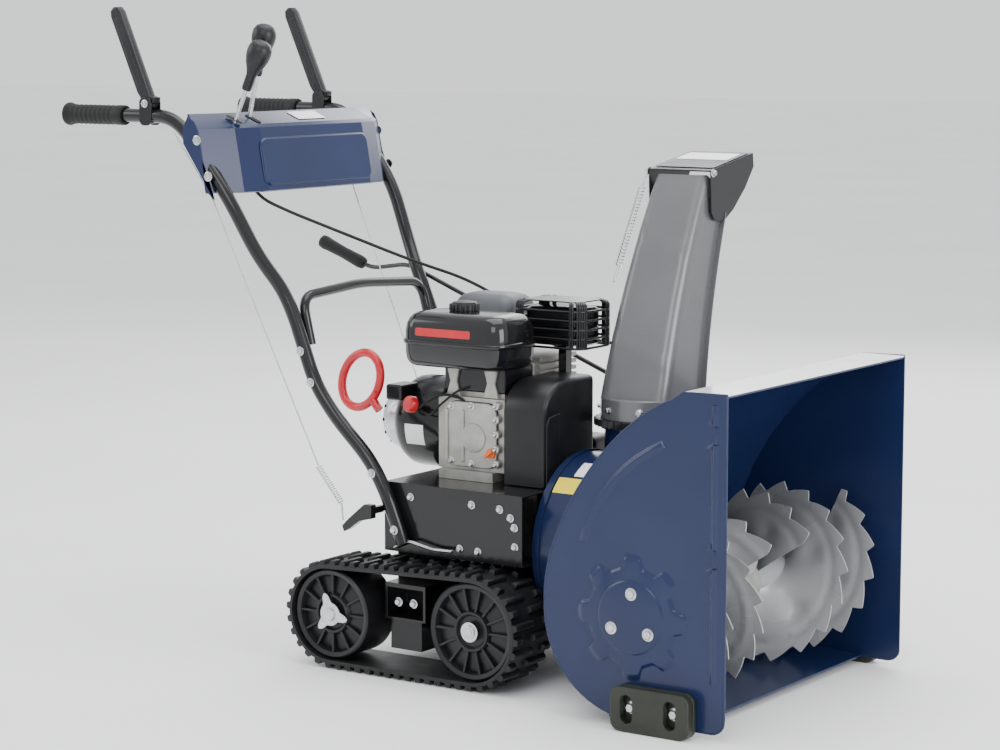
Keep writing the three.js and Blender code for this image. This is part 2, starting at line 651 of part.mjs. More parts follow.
function belt(x, radiusHigh, radiusLow) {
  const loop = (grow) => {
    const shape = new THREE.Shape();
    const high = radiusHigh + grow;
    const low = radiusLow + grow;
    const lean = Math.asin((low - high) / (CRANK.z - DRUM.z));
    shape.absarc(0, CRANK.z, high, lean, Math.PI - lean, false);
    shape.absarc(0, DRUM.z, low, Math.PI - lean, 2 * Math.PI + lean, false);
    return shape;
  };
  return cut(beam(loop(8), x, x + 7, 10), beam(loop(0.6), x - 1, x + 8, 10));
}
add("auger_belt", belt(199, 36, 74), "rubber");

// The drive pulley and the friction disc behind it are one turning, free on the impeller shaft.
const discProfile = [
  [10.6, 0], [DISC.radius, 0], [DISC.radius, 6], [24, 6], [24, 22], [64, 22], [64, 24],
  [55, 28], [55, 31], [64, 35], [64, 37], [10.6, 37], [10.6, 0],
];
add("friction_disc", turned(discProfile, [DISC.x, 0, DRUM.z], [1, 0, 0], 24), "cast");
add("hex_shaft", rod([HEX.x, -104, HEX.z], [HEX.x, 104, HEX.z], HEX.radius, 6), "steel");
const frictionWheel = turned(
  [[10, 0], [DISC.x - HEX.x - 1, 0], [DISC.x - HEX.x - 1, 12], [10, 12], [10, 0]],
  [HEX.x, 24, HEX.z],
  [0, 1, 0],
  20,
);
add("friction_wheel", frictionWheel, "rubber");

// Engine ------------------------------------------------------------------------------------
function engineBlock() {
  const body = box(6, 146, -90, 88, 346, 474);
  const foot = box(16, 130, -104, 104, CHASSIS.high + GAP, 346.5);
  const head = box(18, 150, 14, 132, 470, 538);
  const shoulder = box(18, 138, -78, 20, 470, 528);
  const fins = [];
  for (let z = 478; z < 536; z += 12) {
    fins.push(box(142.5, 170, 0, 150, z, z + 5));
    fins.push(box(0, 200, 124, 150, z, z + 5));
  }
  const bore = rod([0, 0, CRANK.z], [200, 0, CRANK.z], 12.5);
  return cut(join(body, foot, head, shoulder), bore, ...fins);
}
add("engine_block", engineBlock(), "cast");
function crankshaft() {
  const shaft = rod([8, 0, CRANK.z], [222, 0, CRANK.z], 12);
  return join(shaft, pulley(195, CRANK.z, 36, 11, 1), pulley(140.5 + 8, CRANK.z, 32, 11, 1));
}
add("crankshaft", crankshaft(), "steel");

const SHROUD = { x: -113, z: 412, radius: 82 };
const shroudProfile = [[0, 0], [60, 0], [82, 20], [82, 118], [0, 118]];
const ropeGuide = box(-100, -66, -104, -50, 458, 486);
const shroud = turned(shroudProfile, [SHROUD.x, 0, SHROUD.z], [1, 0, 0], 20);
add("blower_shroud", join(shroud, ropeGuide), "black");
const domeProfile = [[0, 0], [30, 2], [50, 14], [58, 34], [58, 46], [0, 46]];
add("recoil_cover", turned(domeProfile, [-159.5, 0, SHROUD.z], [1, 0, 0], 20), "steel");

function fuelTank() {
  const plan = [[-42, -118], [-20, -140], [140, -140], [166, -118], [166, -34], [140, -12],
    [-20, -12], [-42, -34]];
  const scaled = (kx, ky) => plan.map(([x, y]) => [62 + (x - 62) * kx, -76 + (y + 76) * ky]);
  const low = column(plan, 540, 573);
  const high = column(scaled(0.96, 0.95), 570, 622);
  const keel = column(scaled(0.9, 0.86), 531, 540.5);
  return join(low, high, keel);
}
add("fuel_tank", fuelTank(), "black");
const capProfile = [[0, 0], [27, 0], [27, 12], [24, 17], [0, 17]];
add("fuel_cap", turned(capProfile, [42, -62, 622.5], [0, 0, 1]), "plastic");

const cleanerPlan = [[-70, 66], [-56, 54], [42, 54], [56, 66], [56, 140], [40, 152], [-56, 152], [-70, 140]];
add("air_cleaner", column(cleanerPlan, 556, 638), "grey");
const guardPlan = [[92, 22], [104, 12], [222, 12], [236, 24], [236, 104], [222, 118], [104, 118], [92, 106]];
const guard = column(guardPlan, 556, 640);
const guardPost = box(160, 176, 58, 76, 500, 557);
const guardFoot = box(150.5, 176, 58, 76, 500, 506);
add("muffler", join(guard, guardPost, guardFoot), "black");

// The near side of the cover is full height, and the far side is low, clear of the muffler's post.
function beltCover() {
  const tall = [[-104, 330], [-104, 462], [-96, 482], [-76, 500], [-50, 510], [54, 512], [54, 330]];
  const tallInner = [[-101, 280], [-101, 461], [-94, 480], [-75, 497], [-50, 507], [51, 509], [51, 280]];
  const skirt = box(151, 238, 50, 120, 330, 400);
  const skirtInner = box(100, 235, 46, 117, 280, 397);
  return cut(join(beam(tall, 151, 238), skirt), beam(tallInner, 100, 235), skirtInner);
}
add("belt_cover", beltCover(), "plastic");

// D-shaped starter handle with a finger hole, on the rope's stem.
function starterHandle() {
  const loop = (width, height) => new THREE.Shape().absellipse(0, 0, width, height, 0, 2 * Math.PI);
  const ringShape = cut(slab(loop(46, 60), -7, 7, 24), slab(loop(33, 46), -20, 20, 24));
  const stem = rod([37, 0, -14], [52, 0, -22], 8, 12);
  return join(ringShape, stem).rotate([0, 30, 0]).translate([-160, -96, 488]);
}
add("starter_handle", starterHandle(), "red");
const knobProfile = [[0, 0], [13, 0], [15, 6], [15, 14], [0, 16]];
add("stop_knob", turned(knobProfile, [-46, -92, 452], [-0.3, -1, 0.2], 16), "red");
const plugProfile = [[0, 0], [11, 0], [11, 14], [0, 14]];
add("oil_plug", turned(plugProfile, [122, -90.4, 380], [0, -1, 0], 16), "orange");

export default machine;
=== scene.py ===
# %% [markdown]
# # A two-stage snow blower on rubber tracks
# The frame holds the solid parts of the machine, in metres, with +X forward out of the auger housing,
# +Y to the operator's left and +Z up from the ground. Each cell below makes one kind of piece over that
# frame, tells what it is on the real machine, and gives it a finish made only from noise and numbers.

import math

import bmesh
import bpy
from mathutils import Matrix, Vector


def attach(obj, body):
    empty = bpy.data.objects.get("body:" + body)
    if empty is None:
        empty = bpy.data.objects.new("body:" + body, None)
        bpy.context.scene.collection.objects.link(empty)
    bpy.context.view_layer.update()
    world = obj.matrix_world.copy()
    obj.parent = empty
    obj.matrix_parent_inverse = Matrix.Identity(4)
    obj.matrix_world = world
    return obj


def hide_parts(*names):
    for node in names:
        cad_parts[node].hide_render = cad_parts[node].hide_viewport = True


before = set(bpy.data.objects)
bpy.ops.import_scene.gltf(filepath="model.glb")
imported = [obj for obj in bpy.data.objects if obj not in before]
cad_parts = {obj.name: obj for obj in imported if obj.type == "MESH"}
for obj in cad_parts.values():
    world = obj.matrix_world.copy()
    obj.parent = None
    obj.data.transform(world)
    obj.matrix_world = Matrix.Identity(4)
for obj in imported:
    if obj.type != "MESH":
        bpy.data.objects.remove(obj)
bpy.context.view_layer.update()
MM = 0.001
print(len(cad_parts), "solid parts loaded")

# %% [markdown]
# ## Finishes
# A real surface is never one flat colour. Every finish here is the same small recipe: a slow drift between two close
# tones that also changes the gloss, and a faster grain that makes a bump a few hundredths of a millimetre high.
# One recipe with real sizes is easier to tune than a dozen hand-made ones.

# %%
def linear(hex_code):
    """A maker's sRGB colour code as the linear colour that a renderer adds up."""
    parts = [int(hex_code[i : i + 2], 16) / 255 for i in (0, 2, 4)]
    return [c / 12.92 if c <= 0.04045 else ((c + 0.055) / 1.055) ** 2.4 for c in parts] + [1.0]


def add_node(tree, kind, inputs=None, **settings):
    """One shader node, with its settings, and its inputs given as values or as other nodes' outputs."""
    made = tree.nodes.new("ShaderNode" + kind)
    for key, value in settings.items():
        setattr(made, key, value)
    for key, value in (inputs or {}).items():
        if isinstance(value, bpy.types.NodeSocket):
            tree.links.new(value, made.inputs[key])
        else:
            made.inputs[key].default_value = value
    return made


def finish(name, tones, patch, gloss, grain, bump, metal=0.0, coat=0.0, shine=0.5, slot=None):
    """Tones are two colours, patch and grain are sizes in mm, gloss a low and high roughness, bump a height in mm."""
    material = bpy.data.materials.new(name)
    material.use_nodes = True
    material["slot"] = slot or name
    tree = material.node_tree
    tree.nodes.clear()
    place = add_node(tree, "TexCoord").outputs["Object"]
    drift = add_node(tree, "TexNoise", {"Vector": place, "Scale": 1000 / patch, "Detail": 2.0})
    fine = add_node(tree, "TexNoise", {"Vector": place, "Scale": 1000 / grain, "Detail": 3.0})
    ramp = add_node(tree, "ValToRGB", {"Fac": drift.outputs["Fac"]})
    for element, tone, at in zip(ramp.color_ramp.elements, tones, (0.25, 0.75)):
        element.position = at
        element.color = linear(tone)
    rough = add_node(tree, "MapRange", {
        "Value": drift.outputs["Fac"], "From Min": 0.2, "From Max": 0.8,
        "To Min": gloss[0], "To Max": gloss[1],
    })
    relief = add_node(tree, "Bump", {
        "Height": fine.outputs["Fac"], "Strength": 1.0, "Distance": bump * MM,
    })
    skin = add_node(tree, "BsdfPrincipled", {
        "Base Color": ramp.outputs["Color"], "Roughness": rough.outputs["Result"],
        "Normal": relief.outputs["Normal"], "Metallic": metal,
        "Coat Weight": coat, "Coat Roughness": 0.08, "Specular IOR Level": shine,
    })
    add_node(tree, "OutputMaterial", {"Surface": skin.outputs["BSDF"]})
    return material


BLUE = finish("blue_paint", ("1b274c", "172242"), 180, (0.2, 0.26), 2.4, 0.004, coat=0.12, shine=0.3)
BLACK = finish("black_paint", ("121214", "19191b"), 60, (0.14, 0.22), 2.0, 0.005, coat=0.15, shine=0.35)
GREY = finish("grey_paint", ("5e5f61", "696a6c"), 160, (0.24, 0.32), 2.0, 0.01, metal=0.2, coat=0.2)
FLIGHT = finish("flight_paint", ("97989a", "a6a7a9"), 120, (0.24, 0.34), 2.0, 0.01, metal=0.2, slot="grey_paint")
CAST = finish("cast_aluminium", ("9c9b96", "b7b6b0"), 22, (0.42, 0.6), 0.9, 0.12, metal=0.75)
ZINC = finish("steel", ("b3b7ba", "d0d3d5"), 14, (0.2, 0.36), 0.5, 0.02, metal=1.0)
RUBBER = finish("rubber", ("0e0e0f", "1b1b1c"), 30, (0.5, 0.7), 0.7, 0.06, shine=0.3)
TRACK = finish("track_rubber", ("101011", "222224"), 45, (0.36, 0.56), 1.1, 0.12, shine=0.35, slot="rubber")
PLASTIC = finish("black_plastic", ("151517", "1d1d20"), 40, (0.3, 0.42), 0.5, 0.03, shine=0.35)
TANK = finish("tank_gloss", ("0c0c0e", "141416"), 80, (0.1, 0.16), 3.0, 0.004, coat=0.3, shine=0.4, slot="black_paint")
SHOE = finish("shoe_plastic", ("22251e", "2d3128"), 35, (0.34, 0.48), 0.8, 0.05, shine=0.35)
GREY_PLASTIC = finish("grey_plastic", ("4c4f53", "585b60"), 50, (0.38, 0.5), 0.6, 0.05, slot="black_plastic")
RED = finish("red_plastic", ("b5121f", "c81a26"), 30, (0.24, 0.36), 0.8, 0.03, coat=0.2)
ORANGE = finish("orange_plastic", ("d9631a", "e87424"), 20, (0.3, 0.42), 0.6, 0.03)
WHITE = finish("white_label", ("e6e7e8", "f2f2f2"), 40, (0.3, 0.4), 1.5, 0.01, slot="black_plastic")
YELLOW = finish("yellow_label", ("e8cf1a", "f0dc3c"), 30, (0.3, 0.4), 1.5, 0.01, slot="black_plastic")
# Gasket colour, and painted shade: on the lever slots and recoil vents this near-black stands for the shade inside
# their openings
GASKET_AND_HOLE_SHADE = finish("gasket_and_hole_shade", ("050505", "0a0a0a"), 20, (0.7, 0.9), 1.0, 0.02, slot="black_plastic")
print(len(bpy.data.materials), "finishes")

# %% [markdown]
# ## Ways of making a piece
# Sheet metal is cut to an outline and folded, bar is bent, and round parts are turned. The helpers do the
# same: an outline becomes a plate with softened edges, a profile is turned about an axis, and a bar follows
# straight runs joined by round corners. All of them work in millimetres, in the machine's own frame.

# %%
def shown(name, mesh, material, body="frame", instead=(), bevel=0.0, smooth=35, segments=2):
    """A mesh in mm becomes a visible piece that rides on a body and can stand in for frame parts."""
    mesh.transform(Matrix.Scale(MM, 4))
    mesh.materials.clear()
    mesh.materials.append(material)
    for face in mesh.polygons:
        face.use_smooth = True
        face.material_index = 0
    mesh.set_sharp_from_angle(angle=math.radians(smooth))
    made = bpy.data.objects.new(name.replace(" ", "_") + "_shape", mesh)
    bpy.context.scene.collection.objects.link(made)
    if bevel:
        edge = made.modifiers.new("soft edges", "BEVEL")
        edge.width = bevel * MM
        edge.segments = segments
        edge.limit_method = "ANGLE"
        edge.angle_limit = math.radians(max(smooth - 5, 20))
        edge.harden_normals = True
    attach(made, body)
    if instead:
        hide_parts(*instead)
    return made


def mesh_from(build):
    """Fills a new bmesh with the given function and returns it as a mesh."""
    shape = bmesh.new()
    build(shape)
    bmesh.ops.remove_doubles(shape, verts=shape.verts, dist=1e-4)
    bmesh.ops.recalc_face_normals(shape, faces=shape.faces)
    mesh = bpy.data.meshes.new("piece")
    shape.to_mesh(mesh)
    shape.free()
    return mesh


def merged(*meshes):
    """Several meshes as one."""
    def fill(shape):
        for mesh in meshes:
            shape.from_mesh(mesh)
    shape = bmesh.new()
    fill(shape)
    mesh = bpy.data.meshes.new("piece")
    shape.to_mesh(mesh)
    shape.free()
    return mesh


def basis(origin, across, up):
    """The matrix that puts a flat outline's X along across and its Y along up, at origin."""
    x = Vector(across).normalized()
    z = x.cross(Vector(up)).normalized()
    y = z.cross(x)
    turn = Matrix((x, y, z)).transposed().to_4x4()
    return Matrix.Translation(Vector(origin)) @ turn


def plate(outline, thick, place, holes=(), edge=0.6):
    """An outline in mm as a plate whose near face is on the place's plane, thick along its normal."""
    curve = bpy.data.curves.new("outline", "CURVE")
    curve.dimensions = "2D"
    curve.fill_mode = "BOTH"
    for ring in (outline, *holes):
        spline = curve.splines.new("POLY")
        spline.points.add(len(ring) - 1)
        for point, (x, y) in zip(spline.points, ring):
            point.co = (x, y, 0, 1)
        spline.use_cyclic_u = True
    curve.extrude = thick / 2 - edge
    curve.bevel_depth = edge
    curve.bevel_resolution = 2
    curve.offset = -edge
    holder = bpy.data.objects.new("outline", curve)
    bpy.context.scene.collection.objects.link(holder)
    mesh = bpy.data.meshes.new_from_object(holder)
    bpy.data.objects.remove(holder)
    bpy.data.curves.remove(curve)
    mesh.transform(place @ Matrix.Translation((0, 0, thick / 2)))
    return mesh


def turned(profile, start, direction, sides=48):
    """A profile of (radius, distance) turned about the line from start."""
    aim = Vector((0, 0, 1)).rotation_difference(Vector(direction)).to_matrix().to_4x4()
    place = Matrix.Translation(Vector(start)) @ aim

    def build(shape):
        rings = []
        for radius, along in profile:
            ring = []
            for i in range(sides):
                a = 2 * math.pi * i / sides
                spot = Vector((radius * math.cos(a), radius * math.sin(a), along))
                ring.append(shape.verts.new(place @ spot))
            rings.append(ring)
        for low, high in zip(rings, rings[1:]):
            for i in range(sides):
                j = (i + 1) % sides
                shape.faces.new((low[i], low[j], high[j], high[i]))
    mesh = mesh_from(build)
    return mesh


def rounded_path(points, corner, steps=8):
    """Straight runs joined by round corners, as a list of points."""
    spots = [Vector(p) for p in points]
    path = [spots[0]]
    for before, here, after in zip(spots, spots[1:], spots[2:]):
        back, on = before - here, after - here
        reach = min(corner, back.length * 0.48, on.length * 0.48)
        enter = here + back.normalized() * reach
        leave = here + on.normalized() * reach
        for i in range(steps + 1):
            t = i / steps
            path.append(enter * (1 - t) ** 2 + here * 2 * t * (1 - t) + leave * t * t)
    path.append(spots[-1])
    return path


def bar(points, radius, corner=45, closed=False, sides=8):
    """A round bar or cable along the points."""
    path = points if closed else rounded_path(points, corner)
    curve = bpy.data.curves.new("bar", "CURVE")
    curve.dimensions = "3D"
    curve.bevel_depth = radius
    curve.bevel_resolution = sides // 2
    curve.use_fill_caps = True
    spline = curve.splines.new("POLY")
    spline.points.add(len(path) - 1)
    for point, spot in zip(spline.points, path):
        point.co = (*spot, 1)
    spline.use_cyclic_u = closed
    holder = bpy.data.objects.new("bar", curve)
    bpy.context.scene.collection.objects.link(holder)
    mesh = bpy.data.meshes.new_from_object(holder)
    bpy.data.objects.remove(holder)
    bpy.data.curves.remove(curve)
    return mesh


def block(x0, x1, y0, y1, z0, z1):
    """A plain block between two corners, for a bevel to soften."""
    def build(shape):
        size = Matrix.Diagonal((x1 - x0, y1 - y0, z1 - z0, 1))
        middle = Matrix.Translation(((x0 + x1) / 2, (y0 + y1) / 2, (z0 + z1) / 2))
        bmesh.ops.create_cube(shape, size=1, matrix=middle @ size)
    return mesh_from(build)


def loft(rings, closed=True, caps=True):
    """A skin over rings of equal numbers of points."""
    def build(shape):
        rows = [[shape.verts.new(p) for p in ring] for ring in rings]
        count = len(rows[0])
        for low, high in zip(rows, rows[1:]):
            for i in range(count if closed else count - 1):
                j = (i + 1) % count
                shape.faces.new((low[i], low[j], high[j], high[i]))
        if caps and closed:
            shape.faces.new(rows[0])
            shape.faces.new(rows[-1])
    return mesh_from(build)


def rounded_rectangle(x0, x1, y0, y1, corner, steps=6):
    """A rectangle's outline with round corners."""
    points = []
    for cx, cy, start in ((x1 - corner, y1 - corner, 0), (x0 + corner, y1 - corner, 90),
                          (x0 + corner, y0 + corner, 180), (x1 - corner, y0 + corner, 270)):
        for i in range(steps + 1):
            a = math.radians(start + 90 * i / steps)
            points.append((cx + corner * math.cos(a), cy + corner * math.sin(a)))
    return points


def circle(x, y, radius, sides=32):
    return [(x + radius * math.cos(2 * math.pi * i / sides),
             y + radius * math.sin(2 * math.pi * i / sides)) for i in range(sides)]


def mirror(mesh):
    """The same piece on the other side of the machine."""
    other = mesh.copy()
    other.transform(Matrix.Scale(-1, 4, Vector((0, 1, 0))))
    other.flip_normals()
    return other


def solid_copy(name, material, body="frame", bevel=0.8, smooth=32):
    """A frame part with its flat faces made whole and its edges softened."""
    shape = bmesh.new()
    shape.from_mesh(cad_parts[name].data)
    bmesh.ops.remove_doubles(shape, verts=shape.verts, dist=2e-6)
    bmesh.ops.dissolve_limit(shape, angle_limit=math.radians(0.6), verts=shape.verts, edges=shape.edges)
    mesh = bpy.data.meshes.new(name)
    shape.to_mesh(mesh)
    shape.free()
    mesh.transform(Matrix.Scale(1 / MM, 4))
    return shown(name + "_skin", mesh, material, body, [name], bevel, smooth)


def hex_bolt(at, direction, across=13.0, washer=True):
    """A flanged hexagon bolt head standing on its washer."""
    r = across / 2 / math.cos(math.pi / 6)
    parts = [turned([(0, 1.2), (r, 1.2), (r, 5.2), (r - 1.2, 6.4), (0, 6.4)], at, direction, 6)]
    if washer:
        disc = [(0, 0), (across * 0.8, 0), (across * 0.8, 1.0), (across * 0.66, 1.6), (0, 1.6)]
        parts.append(turned(disc, at, direction, 24))
    return merged(*parts)


def bolts(name, spots, body="frame", across=13.0, material=ZINC):
    """A set of bolts on one body; each spot is a place and the way its head faces."""
    return shown(name, merged(*[hex_bolt(at, way, across) for at, way in spots]), material, body)


print("helpers ready")

# %% [markdown]
# ## Auger housing
# Two pressed side plates close a rolled shell. Each plate has a raised gear-shaped boss round the auger's
# bearing, a rib that follows its back edge and an upright rib behind its front edge, which stop the thin
# sheet from drumming. A raised shape with soft edges laid on the sheet looks just like a pressing.

# %%
def pressing(outline, height, slope, place):
    """A raised field in sheet metal: its edge rises in a soft slope to a flat top."""
    middle = [Vector(p) for p in outline]
    count = len(middle)
    inward = []
    area = sum(a.x * b.y - b.x * a.y for a, b in zip(middle, middle[1:] + middle[:1]))
    for i, spot in enumerate(middle):
        on = (middle[(i + 1) % count] - middle[i - 1]).normalized()
        inward.append(Vector((-on.y, on.x)) * (1 if area > 0 else -1))
    rings = []
    for i in range(7):
        t = i / 6
        lift = height * t * t * (3 - 2 * t)
        rings.append([(*(spot + way * slope * t), lift) for spot, way in zip(middle, inward)])
    mesh = loft(rings)
    mesh.transform(place)
    return mesh


def plate_outline():
    """The side plate's edge in X and Z."""
    points = []
    for i in range(7):
        a = math.radians(-90 + 15 * i)
        points.append((686.5 + 25 * math.cos(a), 37 + 25 * math.sin(a)))
    points += [(711.4, 551.8), (632, 550), (612, 537)]
    start, pull, push, end = (612, 537), (480, 485), (368, 305), (373, 190)
    for i in range(1, 33):
        t = i / 32
        points.append(tuple(
            start[k] * (1 - t) ** 3 + 3 * pull[k] * t * (1 - t) ** 2 + 3 * push[k] * t * t * (1 - t) + end[k] * t ** 3
            for k in (0, 1)
        ))
    for i in range(1, 17):
        a = math.radians(177 + (255 - 177) * i / 16)
        points.append((540 + 167 * math.cos(a), 181 + 167 * math.sin(a)))
    points += [(520, 13)]
    return points


def gear_boss(inner, outer, teeth, height, slope, place):
    """A round pressed boss with low, soft teeth; its edge slopes in towards the middle."""
    rings = []
    for level in range(7):
        t = level / 6
        lift = height * t * t * (3 - 2 * t)
        ring = []
        for i in range(240):
            a = 2 * math.pi * i / 240
            wave = math.tanh(2.6 * math.cos(teeth * a)) / math.tanh(2.6)
            r = (inner + outer) / 2 + (outer - inner) / 2 * wave * (1 - 0.25 * t) - slope * t
            ring.append((540 + r * math.cos(a), 181 + r * math.sin(a), lift))
        rings.append(ring)
    mesh = loft(rings)
    mesh.transform(place)
    return mesh


def band_along(path, width):
    """An outline that follows a path at a given width."""
    spots = [Vector(p) for p in path]
    left, right = [], []
    for i, spot in enumerate(spots):
        on = (spots[min(i + 1, len(spots) - 1)] - spots[max(i - 1, 0)]).normalized()
        side = Vector((-on.y, on.x)) * width / 2
        left.append(tuple(spot + side))
        right.append(tuple(spot - side))
    return left + right[::-1]


def side_plate():
    outer = basis((0, -305.4, 0), (1, 0, 0), (0, 0, 1))
    outline = plate_outline()
    parts = [plate(outline, 2.6, outer, edge=0.9)]
    raised = basis((0, -307.9, 0), (1, 0, 0), (0, 0, 1))
    parts.append(gear_boss(84, 104, 8, 4.0, 11.0, raised))
    higher = basis((0, -311.8, 0), (1, 0, 0), (0, 0, 1))
    parts.append(pressing(circle(540, 181, 62, 96), 2.4, 5.0, higher))
    sweep = [(447, 292), (453, 315), (462, 338), (474, 358), (490, 380), (508, 402), (528, 421),
             (548, 437), (572, 452), (598, 466)]
    parts.append(pressing(band_along(sweep, 17), 4.2, 8.0, raised))
    for low, high in ((92, 276), (306, 472), (500, 536)):
        rib = band_along([(690, low), (690, high)], 15)
        parts.append(pressing(rib, 4.0, 7.0, raised))
    for z in (291, 486):
        notch = [(660, z - 22), (676, z - 22), (690, z - 12), (690, z + 12), (676, z + 22), (660, z + 22)]
        parts.append(pressing(band_along(notch[1:5], 9), 2.6, 4.0, raised))
    hem = [Vector((min(x, 709.6), -307.4, z)) for x, z in outline]
    parts.append(bar(hem, 1.7, closed=True))
    return merged(*parts)


near_plate = side_plate()
shown("side plate right", near_plate.copy(), BLUE, "frame", ["side_plate_right"])
shown("side plate left", mirror(near_plate), BLUE, "frame", ["side_plate_left"])
hub = [(542, 220), (505, 161), (574, 158)]
spots = [((x, side * 314.2, z), (0, side, 0)) for x, z in hub for side in (-1, 1)]
bolts("hub bolts", spots, across=13)
print("side plates", len(near_plate.polygons), "faces each")

# %% [markdown]
# The rolled shell is one sheet. Its front edge folds over in a lip of blue paint that is coloured near white, a painted
# highlight for the shine that paint shows at a grazing angle. The scraper along its bottom edge and the drum behind it
# are the frame's own solids with softened edges.

# %%
solid_copy("auger_housing", BLUE, bevel=0.6, smooth=40)
solid_copy("impeller_drum", BLUE, bevel=0.8, smooth=40)
# painted highlight: the blue-painted lip is coloured near white to stand for its shine at a grazing angle
lip = block(633, 711.2, -304.6, 304.6, 549.2, 551.4)
shown("top lip", lip, finish("lip_painted_highlight", ("eceef1", "f8f9fa"), 120, (0.14, 0.24), 2.0, 0.01,
                              coat=0.4, slot="blue_paint"), bevel=0.8)


def drum_label(name, material, x0, x1, start, end):
    """A label that wraps round the drum between two angles."""
    rings = []
    for x in (x0, x1):
        rings.append([(x, -156.6 * math.cos(math.radians(a)), 229 + 156.6 * math.sin(math.radians(a)))
                      for a in range(start, end + 1, 2)])
    return shown(name, loft(rings, closed=False), material, smooth=60)


drum_label("white drum label", WHITE, 290, 346, 54, 68)
drum_label("yellow drum label", YELLOW, 264, 310, 40, 52)

# %% [markdown]
# ## Skid shoes
# Moulded wear blocks, one on each side, held by two bolts in upright slots so that the housing's height can
# be set. Rounded ends let them ride over bumps.

# %%
def skid_shoe():
    place = basis((0, -308.4, 0), (1, 0, 0), (0, 0, 1))
    outline = rounded_rectangle(516, 661, 0.2, 73, 17)
    slots = [rounded_rectangle(x - 11, x + 11, 14, 60, 10.5) for x in (546, 626)]
    back = plate(outline, 10, place, edge=2.0)
    face = plate(outline, 18, basis((0, -317.5, 0), (1, 0, 0), (0, 0, 1)), slots, edge=2.6)
    return merged(back, face)


shoe = skid_shoe()
shown("skid shoe right", shoe.copy(), SHOE, "frame", ["skid_shoe_right"])
shown("skid shoe left", mirror(shoe), SHOE, "frame", ["skid_shoe_left"])
spots = [((x, side * 318.4, 37), (0, side, 0)) for x in (546, 626) for side in (-1, 1)]
bolts("shoe bolts", spots, across=14)

# %% [markdown]
# ## Auger
# Two ribbon flights on each side of the gear case screw the snow inwards. Each flight is a helical strip with
# a saw-tooth rim that cuts packed snow, and shallow round pressings that stiffen it. A fine grid along the
# helix lets the rim take its teeth and the strip its dimples.

# %%
def flight(side, start_angle):
    """A toothed helical strip from the gear case outwards."""
    turn, around, across = 1.08, 420, 20
    rings = []
    for i in range(around + 1):
        t = turn * i / around
        a = start_angle + 2 * math.pi * t
        tooth = (t * 17) % 1.0
        rim = 150 - 17 * (tooth - 0.15) / 0.85 if tooth > 0.15 else 133 + 17 * tooth / 0.15
        row = []
        for j in range(across + 1):
            r = 22 + (rim - 22) * j / across
            dimple = math.exp(-(((t * 5.2) % 1.0 - 0.5) * 5.0) ** 2 - ((r - 82) / 22) ** 2)
            ridge = math.exp(-((r - 118) / 7) ** 2)
            y = side * (62 + 203 * t + 7.0 * dimple + 3.0 * ridge)
            row.append((540 + r * math.cos(a), y, 181 + r * math.sin(a)))
        rings.append(row)
    front = rings
    rear = [[(x, y + side * 3.0, z) for x, y, z in row] for row in rings]
    closed = [f + r[::-1] for f, r in zip(front, rear)]
    return loft(closed)


for name, side in (("auger_left", 1), ("auger_right", -1)):
    tube = turned([(15.6, 0), (24, 0), (24, 230), (15.6, 230)], (540, side * 56, 181), (0, side, 0), 40)
    strips = [flight(side, 0.6), flight(side, 0.6 + math.pi)]
    shown(name.replace("_", " "), merged(tube, *strips), FLIGHT, "auger", [name], smooth=45)
solid_copy("gear_case", CAST, bevel=1.5)
solid_copy("auger_shaft", ZINC, "auger", bevel=0.4)
solid_copy("impeller_shaft", ZINC, "impeller", bevel=0.3)
solid_copy("impeller", GREY, "impeller", bevel=0.8)

# %% [markdown]
# ## Chute
# A folded sheet-metal channel that leans to the side where it throws. Its section narrows as it rises and
# its corners are rounded, so it is lofted from many sections; two shallow ribs run across its back wall. The
# section is open on the throwing side.

# %%
def chute_section(z):
    t = (z - 470) / (862 - 470)
    half = 68 + (53 - 68) * t
    back = 20 + (186 - 20) * (0.62 * t + 0.38 * t * t)
    depth = 130 + (84 - 130) * t
    return half, back, depth


def chute_point(z, along, inset):
    """A point of the U-shaped section; along runs from -1 at one free edge, round the back, to 1."""
    half, back, depth = chute_section(z)
    corner = 20
    side = depth - corner
    arc = corner * math.pi / 2
    flat = 2 * (half - corner)
    total = 2 * side + 2 * arc + flat
    s = (along + 1) / 2 * total
    if s > total / 2:
        x, y, nx, ny = mirror_side(total - s, half, back, side, arc, corner)
        x, nx = -x, -nx
    else:
        x, y, nx, ny = mirror_side(s, half, back, side, arc, corner)
    return (330 + x - nx * inset, y - ny * inset, z)


def mirror_side(s, half, back, side, arc, corner):
    if s < side:
        return half, back + corner + side - s, 1, 0
    if s < side + arc:
        a = (s - side) / corner
        return (half - corner + corner * math.cos(a), back + corner - corner * math.sin(a),
                math.cos(a), -math.sin(a))
    return half - corner - (s - side - arc), back, 0, -1


def chute_skin():
    rings = []
    levels, around = 40, 56
    for i in range(levels + 1):
        row_out, row_in = [], []
        for j in range(around + 1):
            along = -1 + 2 * j / around
            z = 474 + (857 - 474) * i / levels
            on_back = max(0.0, 1 - abs(along) / 0.42)
            rib = 1.6 * math.exp(-((z - 560 - 60 * along) / 9) ** 2) + 1.6 * math.exp(-((z - 740 - 60 * along) / 9) ** 2)
            row_out.append(chute_point(z, along, -min(1.0, on_back * 3) * rib + 0.0))
            row_in.append(chute_point(z, along, 2.6))
        rings.append(row_out + row_in[::-1])
    return loft(rings)


def trimmed(mesh, point, normal):
    """Cuts off what lies beyond a plane, and closes the cut."""
    shape = bmesh.new()
    shape.from_mesh(mesh)
    geometry = shape.verts[:] + shape.edges[:] + shape.faces[:]
    bmesh.ops.bisect_plane(shape, geom=geometry, plane_co=point, plane_no=normal, clear_outer=True)
    bmesh.ops.holes_fill(shape, edges=[e for e in shape.edges if e.is_boundary])
    shape.to_mesh(mesh)
    shape.free()
    return mesh


